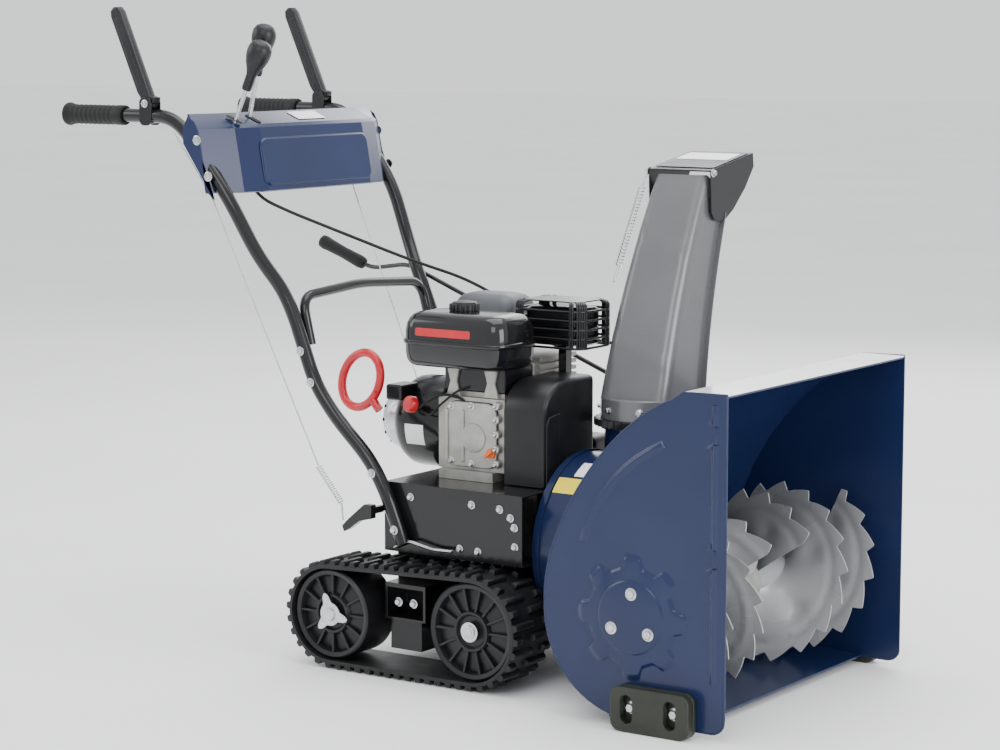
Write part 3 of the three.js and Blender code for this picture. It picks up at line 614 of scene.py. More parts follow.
channel = trimmed(chute_skin(), (330, 192, 858), (0, 83, 78))
foot = turned([(74.5, 441), (81, 441), (81, 476), (79, 478.5), (74.5, 478.5), (74.5, 441)], (330, 80, 0), (0, 0, 1), 64)
web = plate(circle(0, 0, 79, 64), 2.5, basis((330, 80, 475.5), (1, 0, 0), (0, 1, 0)), [circle(0, 0, 67.5, 64)], edge=0.4)
flanges = []
for x in (330 - 68, 330 + 68):
    lean = []
    for i in range(13):
        z = 480 + (790 - 480) * i / 12
        half, back, depth = chute_section(z)
        s = 1 if x > 330 else -1
        y = back + depth - 1
        lean.append([(330 + s * half, y, z), (330 + s * (half + 9), y, z),
                     (330 + s * (half + 9), y - 2.5, z), (330 + s * half, y - 2.5, z)])
    flanges.append(loft(lean))
shown("chute", merged(channel, foot, web, *flanges), GREY, "chute", ["chute"], smooth=38)
solid_copy("chute_gear", PLASTIC, "chute", bevel=0.6)
ring_bolts = []
for i in range(8):
    a = math.radians(22 + 45 * i)
    out = (math.cos(a), math.sin(a), 0)
    ring_bolts.append(((330 + 81 * out[0], 80 + 81 * out[1], 458), out))
bolts("chute ring bolts", ring_bolts, "chute", across=8)

# %% [markdown]
# The deflector is a pressed hood hinged on the chute's top. A long coil spring on the chute's back pulls it
# down; its rod and bracket sit beside the hinge.

# %%
def deflector_skin():
    side = [(183.5, 865.5), (332.5, 890.5), (335.5, 866), (306, 830), (264, 793.5), (236, 777.5),
            (214, 775.5), (196, 780), (186.5, 792)]
    parts = []
    for x in (266.4, 391.2):
        parts.append(plate(side, 2.4, basis((x, 0, 0), (0, 1, 0), (0, 0, 1)), edge=0.8))
    top = [(183.5, 863), (332.8, 888), (332.4, 890.6), (183, 865.8)]
    parts.append(plate(top, 127.2, basis((266.4, 0, 0), (0, 1, 0), (0, 0, 1)), edge=1.0))
    return merged(*parts)


shown("deflector", deflector_skin(), PLASTIC, "deflector", ["deflector"], smooth=38)
top_place = basis((330, 198, 869.1), (1, 0, 0), (0, 149, 25))
shown("deflector top", plate(rounded_rectangle(-60, 60, 0, 128, 6), 0.9, top_place, edge=0.3),
      GREY_PLASTIC, "deflector")
shown("deflector label", plate(rounded_rectangle(-52, 52, 60, 112, 3), 0.5,
      basis((330, 198, 870.2), (1, 0, 0), (0, 149, 25)), edge=0.15), WHITE, "deflector")
hinge = [((265.6, 189, 861), (-1, 0, 0)), ((394.4, 189, 861), (1, 0, 0))]
bolts("deflector hinge bolts", hinge, "deflector", across=9)


def coil(start, end, radius, wire, turns, steps=14):
    """A helical spring between two points."""
    a, b = Vector(start), Vector(end)
    way = (b - a).normalized()
    side = way.orthogonal().normalized()
    other = way.cross(side)
    path = []
    for i in range(turns * steps + 1):
        angle = 2 * math.pi * i / steps
        along = a.lerp(b, i / (turns * steps))
        path.append(tuple(along + (side * math.cos(angle) + other * math.sin(angle)) * radius))
    return path


def polyline(path, radius, sides=4):
    """A wire through every given point."""
    curve = bpy.data.curves.new("wire", "CURVE")
    curve.dimensions = "3D"
    curve.bevel_depth = radius
    curve.bevel_resolution = sides // 2
    curve.use_fill_caps = True
    spline = curve.splines.new("POLY")
    spline.points.add(len(path) - 1)
    for point, spot in zip(spline.points, path):
        point.co = (*spot, 1)
    holder = bpy.data.objects.new("wire", curve)
    bpy.context.scene.collection.objects.link(holder)
    mesh = bpy.data.meshes.new_from_object(holder)
    bpy.data.objects.remove(holder)
    bpy.data.curves.remove(curve)
    return mesh


spring = polyline(coil((260, 96, 700), (260, 172, 832), 5.2, 1.2, 24), 1.2)
rod_end = bar([(260, 80, 672), (260, 96, 700)], 2.0, 5)
rod_top = bar([(260, 172, 832), (262, 186, 856)], 1.6, 5)
shown("deflector spring", merged(spring, rod_end, rod_top), ZINC, "chute", ["deflector_spring"], smooth=60)
print("chute and deflector made")

# %% [markdown]
# ## Handlebars and controls
# Two bent steel tubes bolt to the chassis and rise to the grips, with a cross brace between them. Bars are
# swept along straight runs with round corners, as a tube bender makes them.

# %%
BAR_PATH = [(-690, 249, 955), (-452, 249, 955), (-341, 243, 817), (-290, 224, 714), (-252, 203, 655),
            (-229, 200, 610), (-183, 200, 492), (-140, 200, 438), (-62, 200, 366), (-28, 200, 312), (8, 200, 226)]
left_bar = bar(BAR_PATH, 12.4, 46, sides=14)
shown("handlebar left", left_bar.copy(), BLACK, "frame", ["handlebar_left"], smooth=50)
shown("handlebar right", mirror(left_bar), BLACK, "frame", ["handlebar_right"], smooth=50)
brace_path = [(-206, -180, 556), (-228, -178, 640), (-230, 0, 651), (-228, 178, 640), (-206, 180, 556)]
shown("cross brace", bar(brace_path, 8.9, 34, sides=12), BLACK, "frame", ["cross_brace"], smooth=50)

grip_profile = [(12.8, 0.4), (17, 0.2), (20.6, 2), (21, 5), (19.6, 10), (17.6, 17)]
for i in range(9):
    grip_profile += [(17.9, 22 + i * 11), (16.9, 25 + i * 11), (16.9, 29 + i * 11), (17.9, 32 + i * 11)]
grip_profile += [(18, 132), (18, 138), (16.6, 140), (12.8, 140)]
for side, name in ((1, "left"), (-1, "right")):
    grip = turned(grip_profile, (-711.2, side * 249, 955), (1, 0, 0), 48)
    cap = turned([(0, 0), (17, 0), (17, 3), (0, 3)], (-711.3, side * 249, 955), (1, 0, 0), 48)
    shown("grip " + name, merged(grip, cap), RUBBER, "frame", ["grip_" + name], smooth=50)
spots = []
for side in (-1, 1):
    for x, z in ((-205, 548), (-183, 494), (-2, 250), (-50, 345)):
        spots.append(((x, side * 212, z), (0, side, 0)))
bolts("handlebar bolts", spots, across=10)
print("bars and grips")

# %% [markdown]
# The control panel is a folded blue sheet over the bars: a sloping top with the lever slots, a front face
# with a broad pressed field, and side wings bolted to the bars.

# %%
def panel_skin():
    stations = [(-264, -52), (-262, -48), (-205, -12), (-150, 0), (150, 0), (205, -12), (262, -48), (264, -52)]
    profile = [(-322, 823), (-331, 872), (-340, 920), (-343.5, 935), (-350, 941), (-374, 951), (-397, 960.5)]
    rings = []
    for x, z in profile:
        back_out = [(x + push * min(1.0, (x + 420) / 70), y, z) for y, push in stations]
        inner = [(x + push * min(1.0, (x + 420) / 70) - 2.4, y * 0.99, z - 2.0) for y, push in stations]
        rings.append(back_out + inner[::-1])
    return loft(rings)


wing = [(-413, 957), (-399, 948), (-391, 934), (-380, 880), (-371, 826), (-358, 815), (-424, 908), (-425, 934)]
wings = []
for side in (-1, 1):
    y = 262 if side > 0 else -264.6
    wings.append(plate(wing, 2.6, basis((0, y + 2.6, 0), (1, 0, 0), (0, 0, 1)), edge=0.8))
field_place = basis((-331.2, 0, 872), (0, 1, 0), (-20, 0, 112))
field = pressing(rounded_rectangle(-158, 158, -44, 46, 18), 3.4, 5.0, field_place)
shown("control panel", merged(panel_skin(), field, *wings), BLUE, "frame", ["control_panel"], bevel=1.4, smooth=10)
top_place = basis((-372, 0, 951.2), (0, -1, 0), (47, 0, -19.5))
shown("panel label", plate(rounded_rectangle(-62, 18, -17, 15, 3), 0.6, top_place, edge=0.2), WHITE, "frame")
# painted shade: thin dark plates stand for the shade inside the two lever slots in the panel top
slots = [plate(rounded_rectangle(y - 6, y + 6, -14, 22, 5.9), 0.5, top_place, edge=0.1) for y in (137, 190)]
shown("lever slots", merged(*slots), GASKET_AND_HOLE_SHADE, "frame")
spots = []
for side in (-1, 1):
    for x, z in ((-391, 915), (-366, 852)):
        spots.append(((x, side * 265, z), (0, side, 0)))
bolts("panel bolts", spots, across=11)

# %% [markdown]
# Clutch levers are moulded paddles over the grips. The two control levers are bright rods with bulb-shaped
# black knobs.

# %%
def clutch_paddle():
    lean = math.radians(24)
    outline = [(-6, 0), (-12.6, 30), (-12.8, 176), (-9, 186), (0, 189.6), (9, 186), (12.8, 176), (12.8, 12),
               (23, 4), (18, -3.6), (4, -3)]
    origin = (-514, 258.6, 975)
    along = (math.cos(lean), 0, math.sin(lean))
    up = (-math.sin(lean), 0, math.cos(lean))
    body = plate(outline, 19.2, basis(origin, along, up), edge=4.2)
    ridge = plate(rounded_rectangle(-6.5, 6.5, 24, 168, 6), 21.6, basis((-514, 259.8, 975), along, up), edge=2.5)
    return merged(body, ridge)


paddle = clutch_paddle()
shown("clutch lever left", paddle.copy(), PLASTIC, "lever_left", ["clutch_lever_left"], smooth=45)
shown("clutch lever right", mirror(paddle), PLASTIC, "lever_right", ["clutch_lever_right"], smooth=45)
for side, body in ((1, "left"), (-1, "right")):
    bracket = block(-531, -500, side * 249 - 9, side * 249 + 9, 942, 966)
    shown("lever bracket " + body, bracket, BLACK, "frame", bevel=3)
    ears = []
    for shift in (-13.4, 11.4):
        y = side * 249 + shift
        ear = rounded_rectangle(-528, -500, 938, 988, 10)
        ears.append(plate(ear, 2, basis((0, y + 2, 0), (1, 0, 0), (0, 0, 1)), edge=0.6))
    shown("lever ears " + body, merged(*ears), BLACK, "frame")
    knuckle = turned([(0, 0), (11, 0), (11, 22), (0, 22)], (-514, side * 249 - 11, 977), (0, 1, 0), 32)
    shown("lever knuckle " + body, knuckle, PLASTIC, "lever_" + body)
spots = [((-514, side * 262.6, 977), (0, side, 0)) for side in (-1, 1)]
bolts("lever pivots", spots, across=9)


def control_lever(name, y, tip_x, tip_z, body, node):
    start = Vector((-392, y, 890))
    aim = Vector((tip_x, y, tip_z)) - start
    n = aim.length
    stem = turned([(0, 0), (3.9, 0), (3.9, n - 90), (0, n - 90)], start, aim, 20)
    boss = turned([(0, -5), (9, -5), (9, 5), (0, 5)], start, (0, 1, 0), 24)
    shown(name + " rod", merged(stem, boss), ZINC, body, [node], smooth=45)
    knob = [(0, n - 94), (8, n - 94), (9, n - 90), (9, n - 66), (12, n - 56), (17.5, n - 44), (21, n - 32),
            (22, n - 22), (20.6, n - 12), (16, n - 4.5), (9, n - 0.8), (0, n)]
    shown(name + " knob", turned(knob, start, aim, 40), PLASTIC, body, smooth=60)


control_lever("deflector lever", -137, -336, 1118, "deflector_control", "deflector_lever")
control_lever("shift lever", -190, -300, 1088, "shifter", "shift_lever")

# %% [markdown]
# Bowden cables run from the levers to what they pull. The clutch cables end in bright return springs that
# hook on the clutch arms under the bars.

# %%
def clutch_line(route, spring_end, hook_end):
    wire = bar(route, 1.2, 20)
    turns = coil(route[-1], spring_end, 4.6, 0.9, 18)
    hook = bar([spring_end, hook_end], 1.6, 4)
    return merged(wire, polyline(turns, 0.9), hook)


right_route = [(-470, -236, 928), (-384, -236, 815), (-148, -236, 352)]
left_route = [(-470, 236, 928), (-372, 160, 815), (-138, 107, 355)]
shown("clutch cable right", clutch_line(right_route, (-98, -236, 292), (-95, -236, 262)), ZINC, "frame",
      ["clutch_cable_right"], smooth=60)
shown("clutch cable left", clutch_line(left_route, (-112, 101, 304), (-108, 119, 268)), ZINC, "frame",
      ["clutch_cable_left"], smooth=60)
deflector_route = [(-395, -137, 872), (-352, -150, 812), (-300, -120, 784), (-160, 60, 690), (-90, 152, 650),
                   (60, 168, 570), (150, 176, 556), (205, 170, 552)]
shown("deflector cable", bar(deflector_route, 3.0, 60), RUBBER, "frame", ["deflector_cable"], smooth=60)
solid_copy("clutch_arm_left", BLACK, "arm_left", bevel=1.0)
solid_copy("clutch_arm_right", BLACK, "arm_right", bevel=1.0)

# %% [markdown]
# The chute crank is a long steel rod that ends in a worm beside the chute's gear ring, and in a cranked
# black grip at the operator's end.

# %%
def crank_spot(x):
    return Vector((x, 190 - 0.057 * (x - 303), 436 - 0.37 * (x - 330)))


elbow, wrist, tip = crank_spot(-290), Vector((-385, 236, 652)), Vector((-512, 243, 699))
shown("crank rod", bar([crank_spot(352), elbow, wrist, wrist.lerp(tip, 0.9)], 4.4, 22), BLACK, "crank",
      ["chute_crank"], smooth=50)
worm_path = coil(crank_spot(301), crank_spot(348), 8.4, 3, 5, 20)
core = turned([(0, 0), (6, 0), (6, 46), (0, 46)], crank_spot(303), crank_spot(350) - crank_spot(303), 24)
shown("crank worm", merged(polyline(worm_path, 2.4, 6), core), PLASTIC, "crank", smooth=50)
hand = [(0, 0), (9, 0.4), (12.4, 3), (13.4, 12), (12.4, 22), (11.2, 60), (12.6, 104), (11, 113), (6, 117), (0, 118)]
shown("crank grip", turned(hand, tip, wrist - tip, 36), RUBBER, "crank", smooth=60)
print("controls made")

# %% [markdown]
# ## Tracks
# Each rubber belt runs round two spoked plastic wheels. Tapered lugs stand across the belt, staggered in two rows as on
# a real snow track.

# %%
FRONT, REAR = (187, 102, 85), (-109, 97, 80)


def belt_spot(s, lift):
    """A point and its outward direction, part way round the belt from 0 to 1."""
    run = FRONT[0] - REAR[0]
    front_arc, rear_arc = math.pi * FRONT[2], math.pi * REAR[2]
    total = 2 * run + front_arc + rear_arc
    d = (s % 1.0) * total
    if d < front_arc:
        a = -math.pi / 2 + d / FRONT[2]
        centre, r = FRONT, FRONT[2]
    elif d < front_arc + run:
        t = (d - front_arc) / run
        x = FRONT[0] - run * t
        z = (FRONT[1] + FRONT[2]) * (1 - t) + (REAR[1] + REAR[2]) * t
        return Vector((x, 0, z + lift)), Vector((0, 0, 1))
    elif d < front_arc + run + rear_arc:
        a = math.pi / 2 + (d - front_arc - run) / REAR[2]
        centre, r = REAR, REAR[2]
    else:
        t = (d - front_arc - run - rear_arc) / run
        x = REAR[0] + run * t
        z = (REAR[1] - REAR[2]) * (1 - t) + (FRONT[1] - FRONT[2]) * t
        return Vector((x, 0, z - lift)), Vector((0, 0, -1))
    out = Vector((math.cos(a), 0, math.sin(a)))
    return Vector((centre[0], 0, centre[1])) + out * (r + lift), out


def lug(s, y0, y1):
    """One tapered cleat across part of the belt."""
    foot, out = belt_spot(s, 7.4)
    side = Vector((0, 1, 0)).cross(out)
    rings = []
    for height, half, shrink in ((-1, 6.6, 0), (4, 5.8, 0.6), (7.6, 4.2, 1.6), (8.2, 3.4, 2.4)):
        ring = []
        for sx, sy in ((-1, 0), (1, 0), (1, 1), (-1, 1)):
            y = y0 + shrink if sy == 0 else y1 - shrink
            ring.append(foot + out * height + side * half * sx + Vector((0, y, 0)))
        rings.append(ring)
    return loft(rings)


def belt():
    rings = []
    for i in range(181):
        row = []
        for y, lift in ((150.4, 1.2), (150.4, 6.4), (152, 8), (260, 8), (261.6, 6.4), (261.6, 1.2)):
            spot, out = belt_spot(i / 180, lift)
            row.append(spot + Vector((0, y, 0)))
        rings.append(row)
    parts = [loft(rings, caps=False)]
    count = 26
    for i in range(count):
        parts.append(lug(i / count, 151, 208))
        parts.append(lug((i + 0.5) / count, 204, 261))
        parts.append(lug((i + 0.5) / count, 151, 172))
        parts.append(lug(i / count, 240, 261))
    return merged(*parts)


track = belt()
shown("track left", track.copy(), TRACK, "frame", ["track_band_left"], smooth=40)
shown("track right", mirror(track), TRACK, "frame", ["track_band_right"], smooth=40)
print("tracks", len(track.polygons), "faces each")

# %% [markdown]
# The wheels are moulded discs with a deep rim and radial ribs. The rear one carries a bright three-armed
# plate on its axle's end; the front one is held by a bolt on a large washer.

# %%
def wheel(x, z, radius, ribs):
    face = [(12.6, 86), (26, 86), (30, 92), (34, 92), (38, 84), (radius - 15, 80), (radius - 11, 91),
            (radius - 4, 93.4), (radius - 1, 91), (radius - 1, 12), (radius - 9, 12), (30, 14), (12.6, 14)]
    parts = [turned(face, (x, 160, z), (0, 1, 0), 72)]
    for i in range(ribs):
        a = 2 * math.pi * i / ribs
        rib = plate([(30, -2.4), (radius - 10, -2.4), (radius - 10, 2.4), (30, 2.4)], 8,
                    basis((x, 250, z), (math.cos(a), 0, math.sin(a)), (-math.sin(a), 0, math.cos(a))), edge=1.2)
        parts.append(rib)
    return merged(*parts)


for name, spot, ribs, body in (("drive_wheel", FRONT, 14, "drive_wheels"), ("idler_wheel", REAR, 12, "idler_wheels")):
    made = wheel(*spot, ribs)
    shown(name + " left skin", made.copy(), PLASTIC, body, [name + "_left"], smooth=40)
    shown(name + " right skin", mirror(made), PLASTIC, body, [name + "_right"], smooth=40)
solid_copy("drive_axle", ZINC, "drive_wheels", bevel=1.0)
solid_copy("idler_axle", ZINC, "idler_wheels", bevel=1.0)


def star(x, z):
    points = []
    for i in range(96):
        a = 2 * math.pi * i / 96
        r = 21 + 17 * max(0.0, math.cos(3 * a + 0.6)) ** 2.2
        points.append((r * math.cos(a), r * math.sin(a)))
    return plate(points, 4, basis((x, 258.2, z), (1, 0, 0), (0, 0, 1)), edge=1.3)


for side, turn in ((1, lambda m: m), (-1, mirror)):
    shown("star plate" + str(side), turn(star(REAR[0], REAR[1])), ZINC, "idler_wheels", smooth=40)
    cup = turned([(0, 0), (13, 0), (11, 4.6), (0, 4.6)], (REAR[0], 256.5, REAR[1]), (0, 1, 0), 32)
    shown("rear hub cap" + str(side), turn(cup), ZINC, "idler_wheels", smooth=50)
    washer = turned([(0, 0), (17, 0), (17, 1.6), (0, 1.6)], (FRONT[0], 255, FRONT[1]), (0, 1, 0), 40)
    head = hex_bolt((FRONT[0], 255.2, FRONT[1]), (0, 1, 0), 15)
    shown("front hub bolt" + str(side), turn(merged(washer, head)), ZINC, "drive_wheels", smooth=40)
for side in ("left", "right"):
    solid_copy("track_frame_" + side, BLACK, bevel=1.0)
spots = [((x, side * 156.3, z), (0, side, 0)) for x, z in ((-60, 104), (120, 108)) for side in (-1, 1)]
spots += [((x, side * 215.3, 126), (0, side, 0)) for x in (10, 42) for side in (-1, 1)]
bolts("track frame bolts", spots, across=10)

# %% [markdown]
# ## Chassis and hidden drive
# A welded box carries everything. Inside it the friction disc turns behind the impeller's pulley, and a
# rubber-rimmed wheel slides across its face on the hexagon shaft to change speed.

# %%
solid_copy("chassis", BLACK, bevel=2.2)
for name, material, body in (
    ("impeller_pulley", ZINC, "impeller"), ("auger_belt", RUBBER, "frame"), ("friction_disc", CAST, "disc"),
    ("hex_shaft", ZINC, "hex"), ("friction_wheel", RUBBER, "roller"), ("crankshaft", ZINC, "engine_shaft"),
):
    solid_copy(name, material, body, bevel=0.4)
spots = []
for x, z in ((14, 306), (143, 305), (201, 303), (223, 290), (231, 274), (232, 241), (118, 226), (156, 225)):
    for side in (-1, 1):
        spots.append(((x, side * 185.2, z), (0, side, 0)))
bolts("chassis bolts", spots, across=9)
loop = bar([(-18, -188, 214), (19, -200, 232), (70, -200, 222), (112, -200, 223)], 3.2, 12)
shown("height wire loop", loop, ZINC, "frame", smooth=60)
print("tracks and chassis made")

# %% [markdown]
# ## Engine
# A small air-cooled petrol engine: an as-cast crankcase with a bolted side cover and gasket line, a finned
# cylinder, and a black-painted blower shroud with a bright recoil starter at the back.

# %%
solid_copy("engine_block", CAST, bevel=1.6)
cover_place = basis((80, -90.2, 408), (1, 0, 0), (0, 0, 1))
cover = rounded_rectangle(-52, 52, -56, 58, 20)
shown("crankcase cover", plate(cover, 5.5, cover_place, edge=1.6), CAST, "frame", smooth=40)
gasket = plate(rounded_rectangle(-53, 53, -57, 59, 20), 0.8, basis((80, -90.0, 408), (1, 0, 0), (0, 0, 1)), edge=0.2)
shown("gasket", gasket, GASKET_AND_HOLE_SHADE, "frame")
boss_profile = [(26, 0), (25, 2), (20, 3.4), (0, 3.6)]
shown("bearing boss", turned(boss_profile, (84, -95.4, 404), (0, -1, 0), 48), CAST, "frame", smooth=40)
bosses = []
for z in (362, 388, 414, 440, 464):
    bosses.append(turned([(0, 0), (7.5, 0), (7.5, 10), (6.5, 12), (0, 12)], (134, -88, z), (0, -1, 0), 24))
for x in (28, 62):
    ridge = rounded_rectangle(x - 3, x + 3, 360, 452, 2.9)
    bosses.append(plate(ridge, 3.4, basis((0, -95.2, 0), (1, 0, 0), (0, 0, 1)), edge=1.4))
shown("crankcase bosses", merged(*bosses), CAST, "frame", smooth=40)
for x0, x1 in ((20, 50), (98, 130)):
    strut = [(x0, 474), (x0 + 8, 500), (x0, 530), (x1, 530), (x1 - 8, 500), (x1, 474)]
    shown(f"tank strut {x0}", plate(strut, 12, basis((0, -76, 0), (1, 0, 0), (0, 0, 1)), edge=3), CAST, "frame", smooth=40)
case_bolts = [((134, -100, z), (0, -1, 0)) for z in (362, 388, 414, 440, 464)]
bolts("case edge bolts", case_bolts, across=7)
spots = [((80 + x, -95.6, 408 + z), (0, -1, 0)) for x, z in (
    (-43, -47), (0, -50), (0, 52), (-43, 49))]
bolts("cover bolts", spots, across=8)

shroud = [(0, 0), (54, 0), (64, 3), (74, 12), (80, 22), (82, 34), (82, 108), (80, 116), (76, 118), (0, 118)]
shown("blower shroud", turned(shroud, (-113, 0, 412), (1, 0, 0), 72), BLACK, "frame", ["blower_shroud"], smooth=40)
guide = block(-100, -66, -104, -50, 458, 486)
shown("rope guide", guide, BLACK, "frame", bevel=4)
dome = [(0, 0), (22, 0.8), (36, 4), (48, 12), (55, 24), (57.6, 36), (58, 46), (0, 46)]
shown("recoil cover", turned(dome, (-159.3, 0, 412), (1, 0, 0), 72), ZINC, "frame", ["recoil_cover"], smooth=50)
# painted shade: thin dark plates on the recoil cover stand for the shade inside its vent openings
vents = []
for i in range(12):
    a = 2 * math.pi * i / 12
    turn = basis((-150, 42 * math.cos(a), 412 + 42 * math.sin(a)), (0, -math.sin(a), math.cos(a)), (0.5, math.cos(a), math.sin(a)))
    vents.append(plate(rounded_rectangle(-3, 3, -9, 9, 2.9), 1.2, turn, edge=0.2))
shown("recoil vents", merged(*vents), GASKET_AND_HOLE_SHADE, "frame", smooth=40)
label = []
for x in (-74, -34):
    label.append([(x, -82.5 * math.cos(math.radians(a)), 412 + 82.5 * math.sin(math.radians(a)))
                  for a in range(-24, 4, 2)])
shown("shroud label", loft(label, closed=False), WHITE, "frame", smooth=60)

hood = block(12, 141, -82, 8, 482, 529)
shown("engine hood", hood, BLACK, "frame", bevel=5, segments=3)

# %% [markdown]
# The fuel tank is two black mouldings that meet in a rolled seam. It is lofted as rounded rectangles that
# swell to the seam and draw in to the shoulders, with a ribbed cap on a short neck.

# %%
def rounded_ring(x0, x1, y0, y1, corner, z):
    return [(x, y, z) for x, y in rounded_rectangle(x0, x1, y0, y1, corner, 8)]


def shell(levels, corner):
    """Rounded rectangles, each set in by its own amount, skinned together; a level is (z, inset)."""
    rings = []
    for (x0, x1, y0, y1), z, inset in levels:
        rings.append(rounded_ring(x0 + inset, x1 - inset, y0 + inset, y1 - inset, max(corner - inset * 0.4, 4), z))
    return loft(rings)


tank = (-46, 172, -143, -11)
tank_levels = [(tank, z, inset) for z, inset in (
    (527, 20), (528, 14), (532, 8), (539, 4.6), (551, 3), (566, 2.6), (567, 0.6), (568, 0), (573, 0), (574, 0.6),
    (575, 2.6), (590, 3), (602, 5), (611, 9), (617, 14), (620.6, 21), (621.8, 32))]
shown("fuel tank", shell(tank_levels, 30), TANK, "frame", ["fuel_tank"], smooth=42)
badge = plate(rounded_rectangle(-58, 58, -7, 7, 3), 0.8, basis((50, -139.9, 589), (1, 0, 0), (0, 0.03, 1)), edge=0.3)
shown("tank badge", badge, RED, "frame")
cap_parts = [turned([(0, 0), (24, 0), (24, 10), (21, 14.6), (15, 16), (0, 16)], (42, -62, 622.4), (0, 0, 1), 48)]
for i in range(20):
    a = 2 * math.pi * i / 20
    x, y = 42 + 24.6 * math.cos(a), -62 + 24.6 * math.sin(a)
    cap_parts.append(turned([(0, 0), (2.4, 0), (2.4, 10), (1.2, 11.6), (0, 11.6)], (x, y, 622.4), (0, 0, 1), 8))
shown("fuel cap", merged(*cap_parts), PLASTIC, "tank_cap", ["fuel_cap"], smooth=40)

# %% [markdown]
# Behind the tank stand the grey air cleaner and the muffler under its wire guard. The guard is a cage of bent
# strips, so the can can be seen through it.

# %%
air = (-70, 56, 54, 152)
air_levels = [(air, z, inset) for z, inset in (
    (556, 3), (557, 1), (560, 0), (588, 0), (589, 1.6), (591, 1.6), (592, 0), (618, 1), (628, 6), (634, 13), (637.4, 24))]
shown("air cleaner", shell(air_levels, 20), GREY_PLASTIC, "frame", ["air_cleaner"], smooth=42)
can = (104, 224, 24, 106)
can_levels = [(can, z, inset) for z, inset in ((560, 4), (563, 0), (590, 0), (592, 2), (594, 0), (622, 0), (626, 5))]
guard_parts = [shell(can_levels, 24)]
cage = (92, 236, 12, 118)
for z in (558, 574, 590, 606, 622):
    ring = rounded_ring(*cage, 22, z)
    guard_parts.append(bar([Vector(p) for p in ring], 2.3, closed=True))
for i in range(30):
    ring = rounded_rectangle(cage[0], cage[1], cage[2], cage[3], 22, 8)
    x, y = ring[int(i * len(ring) / 30)]
    cx, cy = 164 + (x - 164) * 0.86, 65 + (y - 65) * 0.8
    guard_parts.append(bar([(x, y, 557), (x, y, 634), (cx, cy, 637.6)], 2.3, 10))
lid = plate(rounded_rectangle(104, 224, 22, 108, 18), 2.4, basis((0, 0, 636.6), (1, 0, 0), (0, 1, 0)), edge=0.9)
post = block(160, 176, 58, 76, 500, 560)
guard_parts += [lid, post, block(150.5, 176, 58, 76, 500, 506)]
shown("muffler guard", merged(*guard_parts), BLACK, "frame", ["muffler"], smooth=42)

# %% [markdown]
# The belt cover is one black moulding over the pulleys, high on the near side and low on the far side. The red pieces are what the operator looks for: the
# starter's D-shaped handle and the stop knob. The orange plug closes the oil filler.

# %%
tall = [(-104, 331), (-104, 456), (-102, 468), (-96, 481), (-87, 492), (-74, 501), (-58, 508), (-40, 511),
        (44, 512), (51, 509.6), (54, 503), (54, 331)]
shown("belt cover", plate(tall, 87, basis((151, 0, 0), (0, 1, 0), (0, 0, 1)), edge=7), PLASTIC, "frame",
      ["belt_cover"], smooth=50)
step = [(-100, 334), (-100, 440), (-92, 452), (-60, 456), (-60, 334)]
shown("belt cover step", plate(step, 3, basis((237.5, 0, 0), (0, 1, 0), (0, 0, 1)), edge=1.4), PLASTIC, "frame")
skirt = block(151, 238, 50, 120, 330, 400)
shown("belt cover skirt", skirt, PLASTIC, "frame", bevel=12, segments=4)

ring = []
for i in range(48):
    a = 2 * math.pi * i / 48
    ring.append(Vector((39.3 * math.cos(a), 0, 52.8 * math.sin(a))))
tilt = Matrix.Translation((-160, -96, 488)) @ Matrix.Rotation(math.radians(30), 4, "Y")
handle = merged(bar(ring, 7.8, closed=True, sides=16), bar([(37, 0, -14), (52, 0, -22), (60, 0, -24)], 8, 4, sides=12))
handle.transform(tilt)
shown("starter handle", handle, RED, "starter", ["starter_handle"], smooth=60)
knob = [(0, 0), (12.6, 0), (14.8, 2), (15, 12), (13, 15.2), (8, 16), (0, 16)]
shown("stop knob", turned(knob, (-46, -92, 452), (-0.3, -1, 0.2), 32), RED, "stop", ["stop_knob"], smooth=40)
plug = [turned([(0, 0), (10.8, 0), (10.8, 4), (9, 5), (9, 9), (0, 9)], (122, -90.4, 380), (0, -1, 0), 24)]
plug.append(plate(rounded_rectangle(-10, 10, -3, 3, 2.9), 5, basis((122, -104.4, 380), (0.8, 0, 0.6), (-0.6, 0, 0.8)), edge=0.9))
shown("oil plug", merged(*plug), ORANGE, "oil_filler", ["oil_plug"], smooth=40)
wires = merged(
    bar([(-40, -84, 446), (-10, -104, 462), (20, -96, 478), (60, -92, 470), (70, -90, 452)], 2.4, 16),
    bar([(-40, -80, 440), (-6, -98, 436), (14, -100, 456), (52, -96, 486), (90, -60, 500)], 2.0, 16),
)
shown("stop switch wires", wires, RUBBER, "frame", smooth=60)
print("engine made")

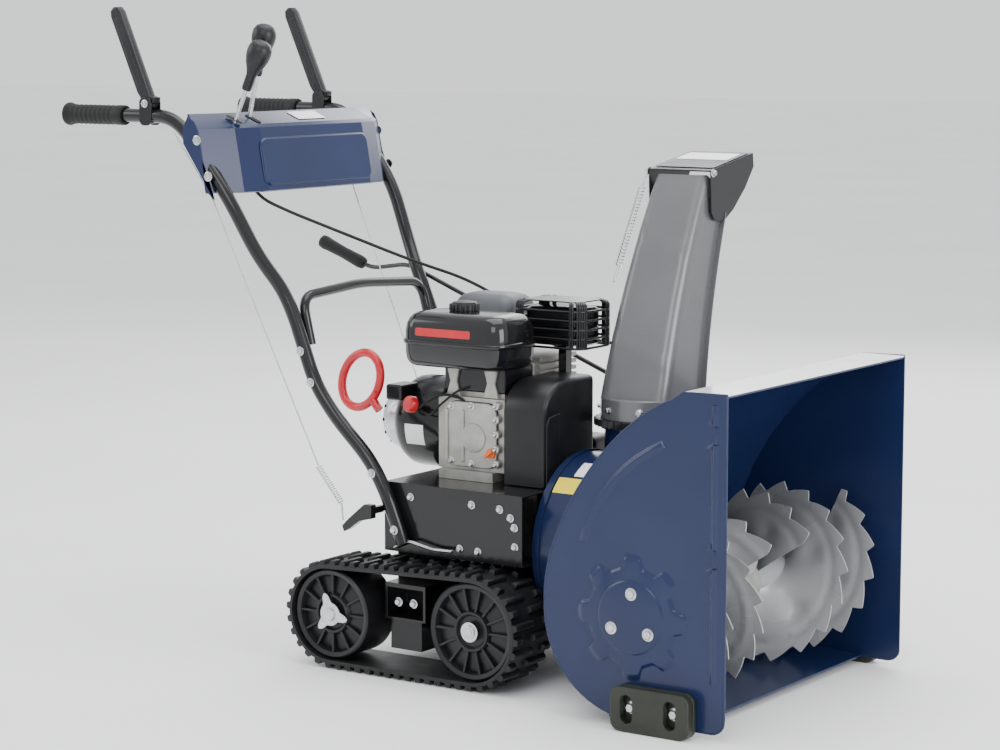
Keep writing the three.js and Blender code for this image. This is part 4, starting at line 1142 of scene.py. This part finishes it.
# %% [markdown]
# ## Stage, light and camera
# A plain pale floor and soft light from large panels, as in a product studio, with the camera low in front
# of the machine's right side.

# %%
pale = finish("pale floor", ("f6f6f6", "fcfcfc"), 900, (0.6, 0.7), 3.0, 0.0)


def make_floor():
    shape = bmesh.new()
    spots = [shape.verts.new(p) for p in ((-30, -30, 0), (30, -30, 0), (30, 30, 0), (-30, 30, 0))]
    shape.faces.new(spots)
    mesh = bpy.data.meshes.new("floor")
    shape.to_mesh(mesh)
    shape.free()
    mesh.materials.append(pale)
    made = bpy.data.objects.new("floor", mesh)
    bpy.context.scene.collection.objects.link(made)
    return made


floor = make_floor()
floor.location.z = -0.0005


def panel_light(name, at, target, size, power):
    data = bpy.data.lights.new(name, "AREA")
    data.shape = "RECTANGLE"
    data.size, data.size_y = size
    data.energy = power
    made = bpy.data.objects.new(name, data)
    made.location = at
    made.rotation_euler = (Vector(target) - Vector(at)).to_track_quat("-Z", "Y").to_euler()
    bpy.context.scene.collection.objects.link(made)


panel_light("key", (1.6, -3.6, 3.2), (0, 0, 0.4), (2.0, 2.0), 45)
panel_light("fill", (-3.6, -2.0, 2.4), (0, 0, 0.5), (2.0, 2.0), 40)
panel_light("front", (4.2, -0.6, 1.6), (0.5, 0, 0.3), (2.2, 2.2), 110)
panel_light("top", (0.2, 0.4, 4.0), (0, 0, 0.3), (3.4, 3.4), 110)
panel_light("back", (-0.8, 4.2, 2.4), (0, 0, 0.6), (3.4, 2.4), 80)
world = bpy.data.worlds.new("studio")
bpy.context.scene.world = world
world.use_nodes = True
world.node_tree.nodes["Background"].inputs["Color"].default_value = (0.97, 0.985, 1.0, 1)
world.node_tree.nodes["Background"].inputs["Strength"].default_value = 1.2

lens = bpy.data.cameras.new("camera")
lens.lens = 99.0
lens.sensor_width = 36
camera = bpy.data.objects.new("camera", lens)
camera.location = (2.79343, -3.97281, 1.12927)
camera.rotation_euler = (math.radians(90 - 7.4042), 0, math.radians(34.3858))
bpy.context.scene.collection.objects.link(camera)
bpy.context.scene.camera = camera
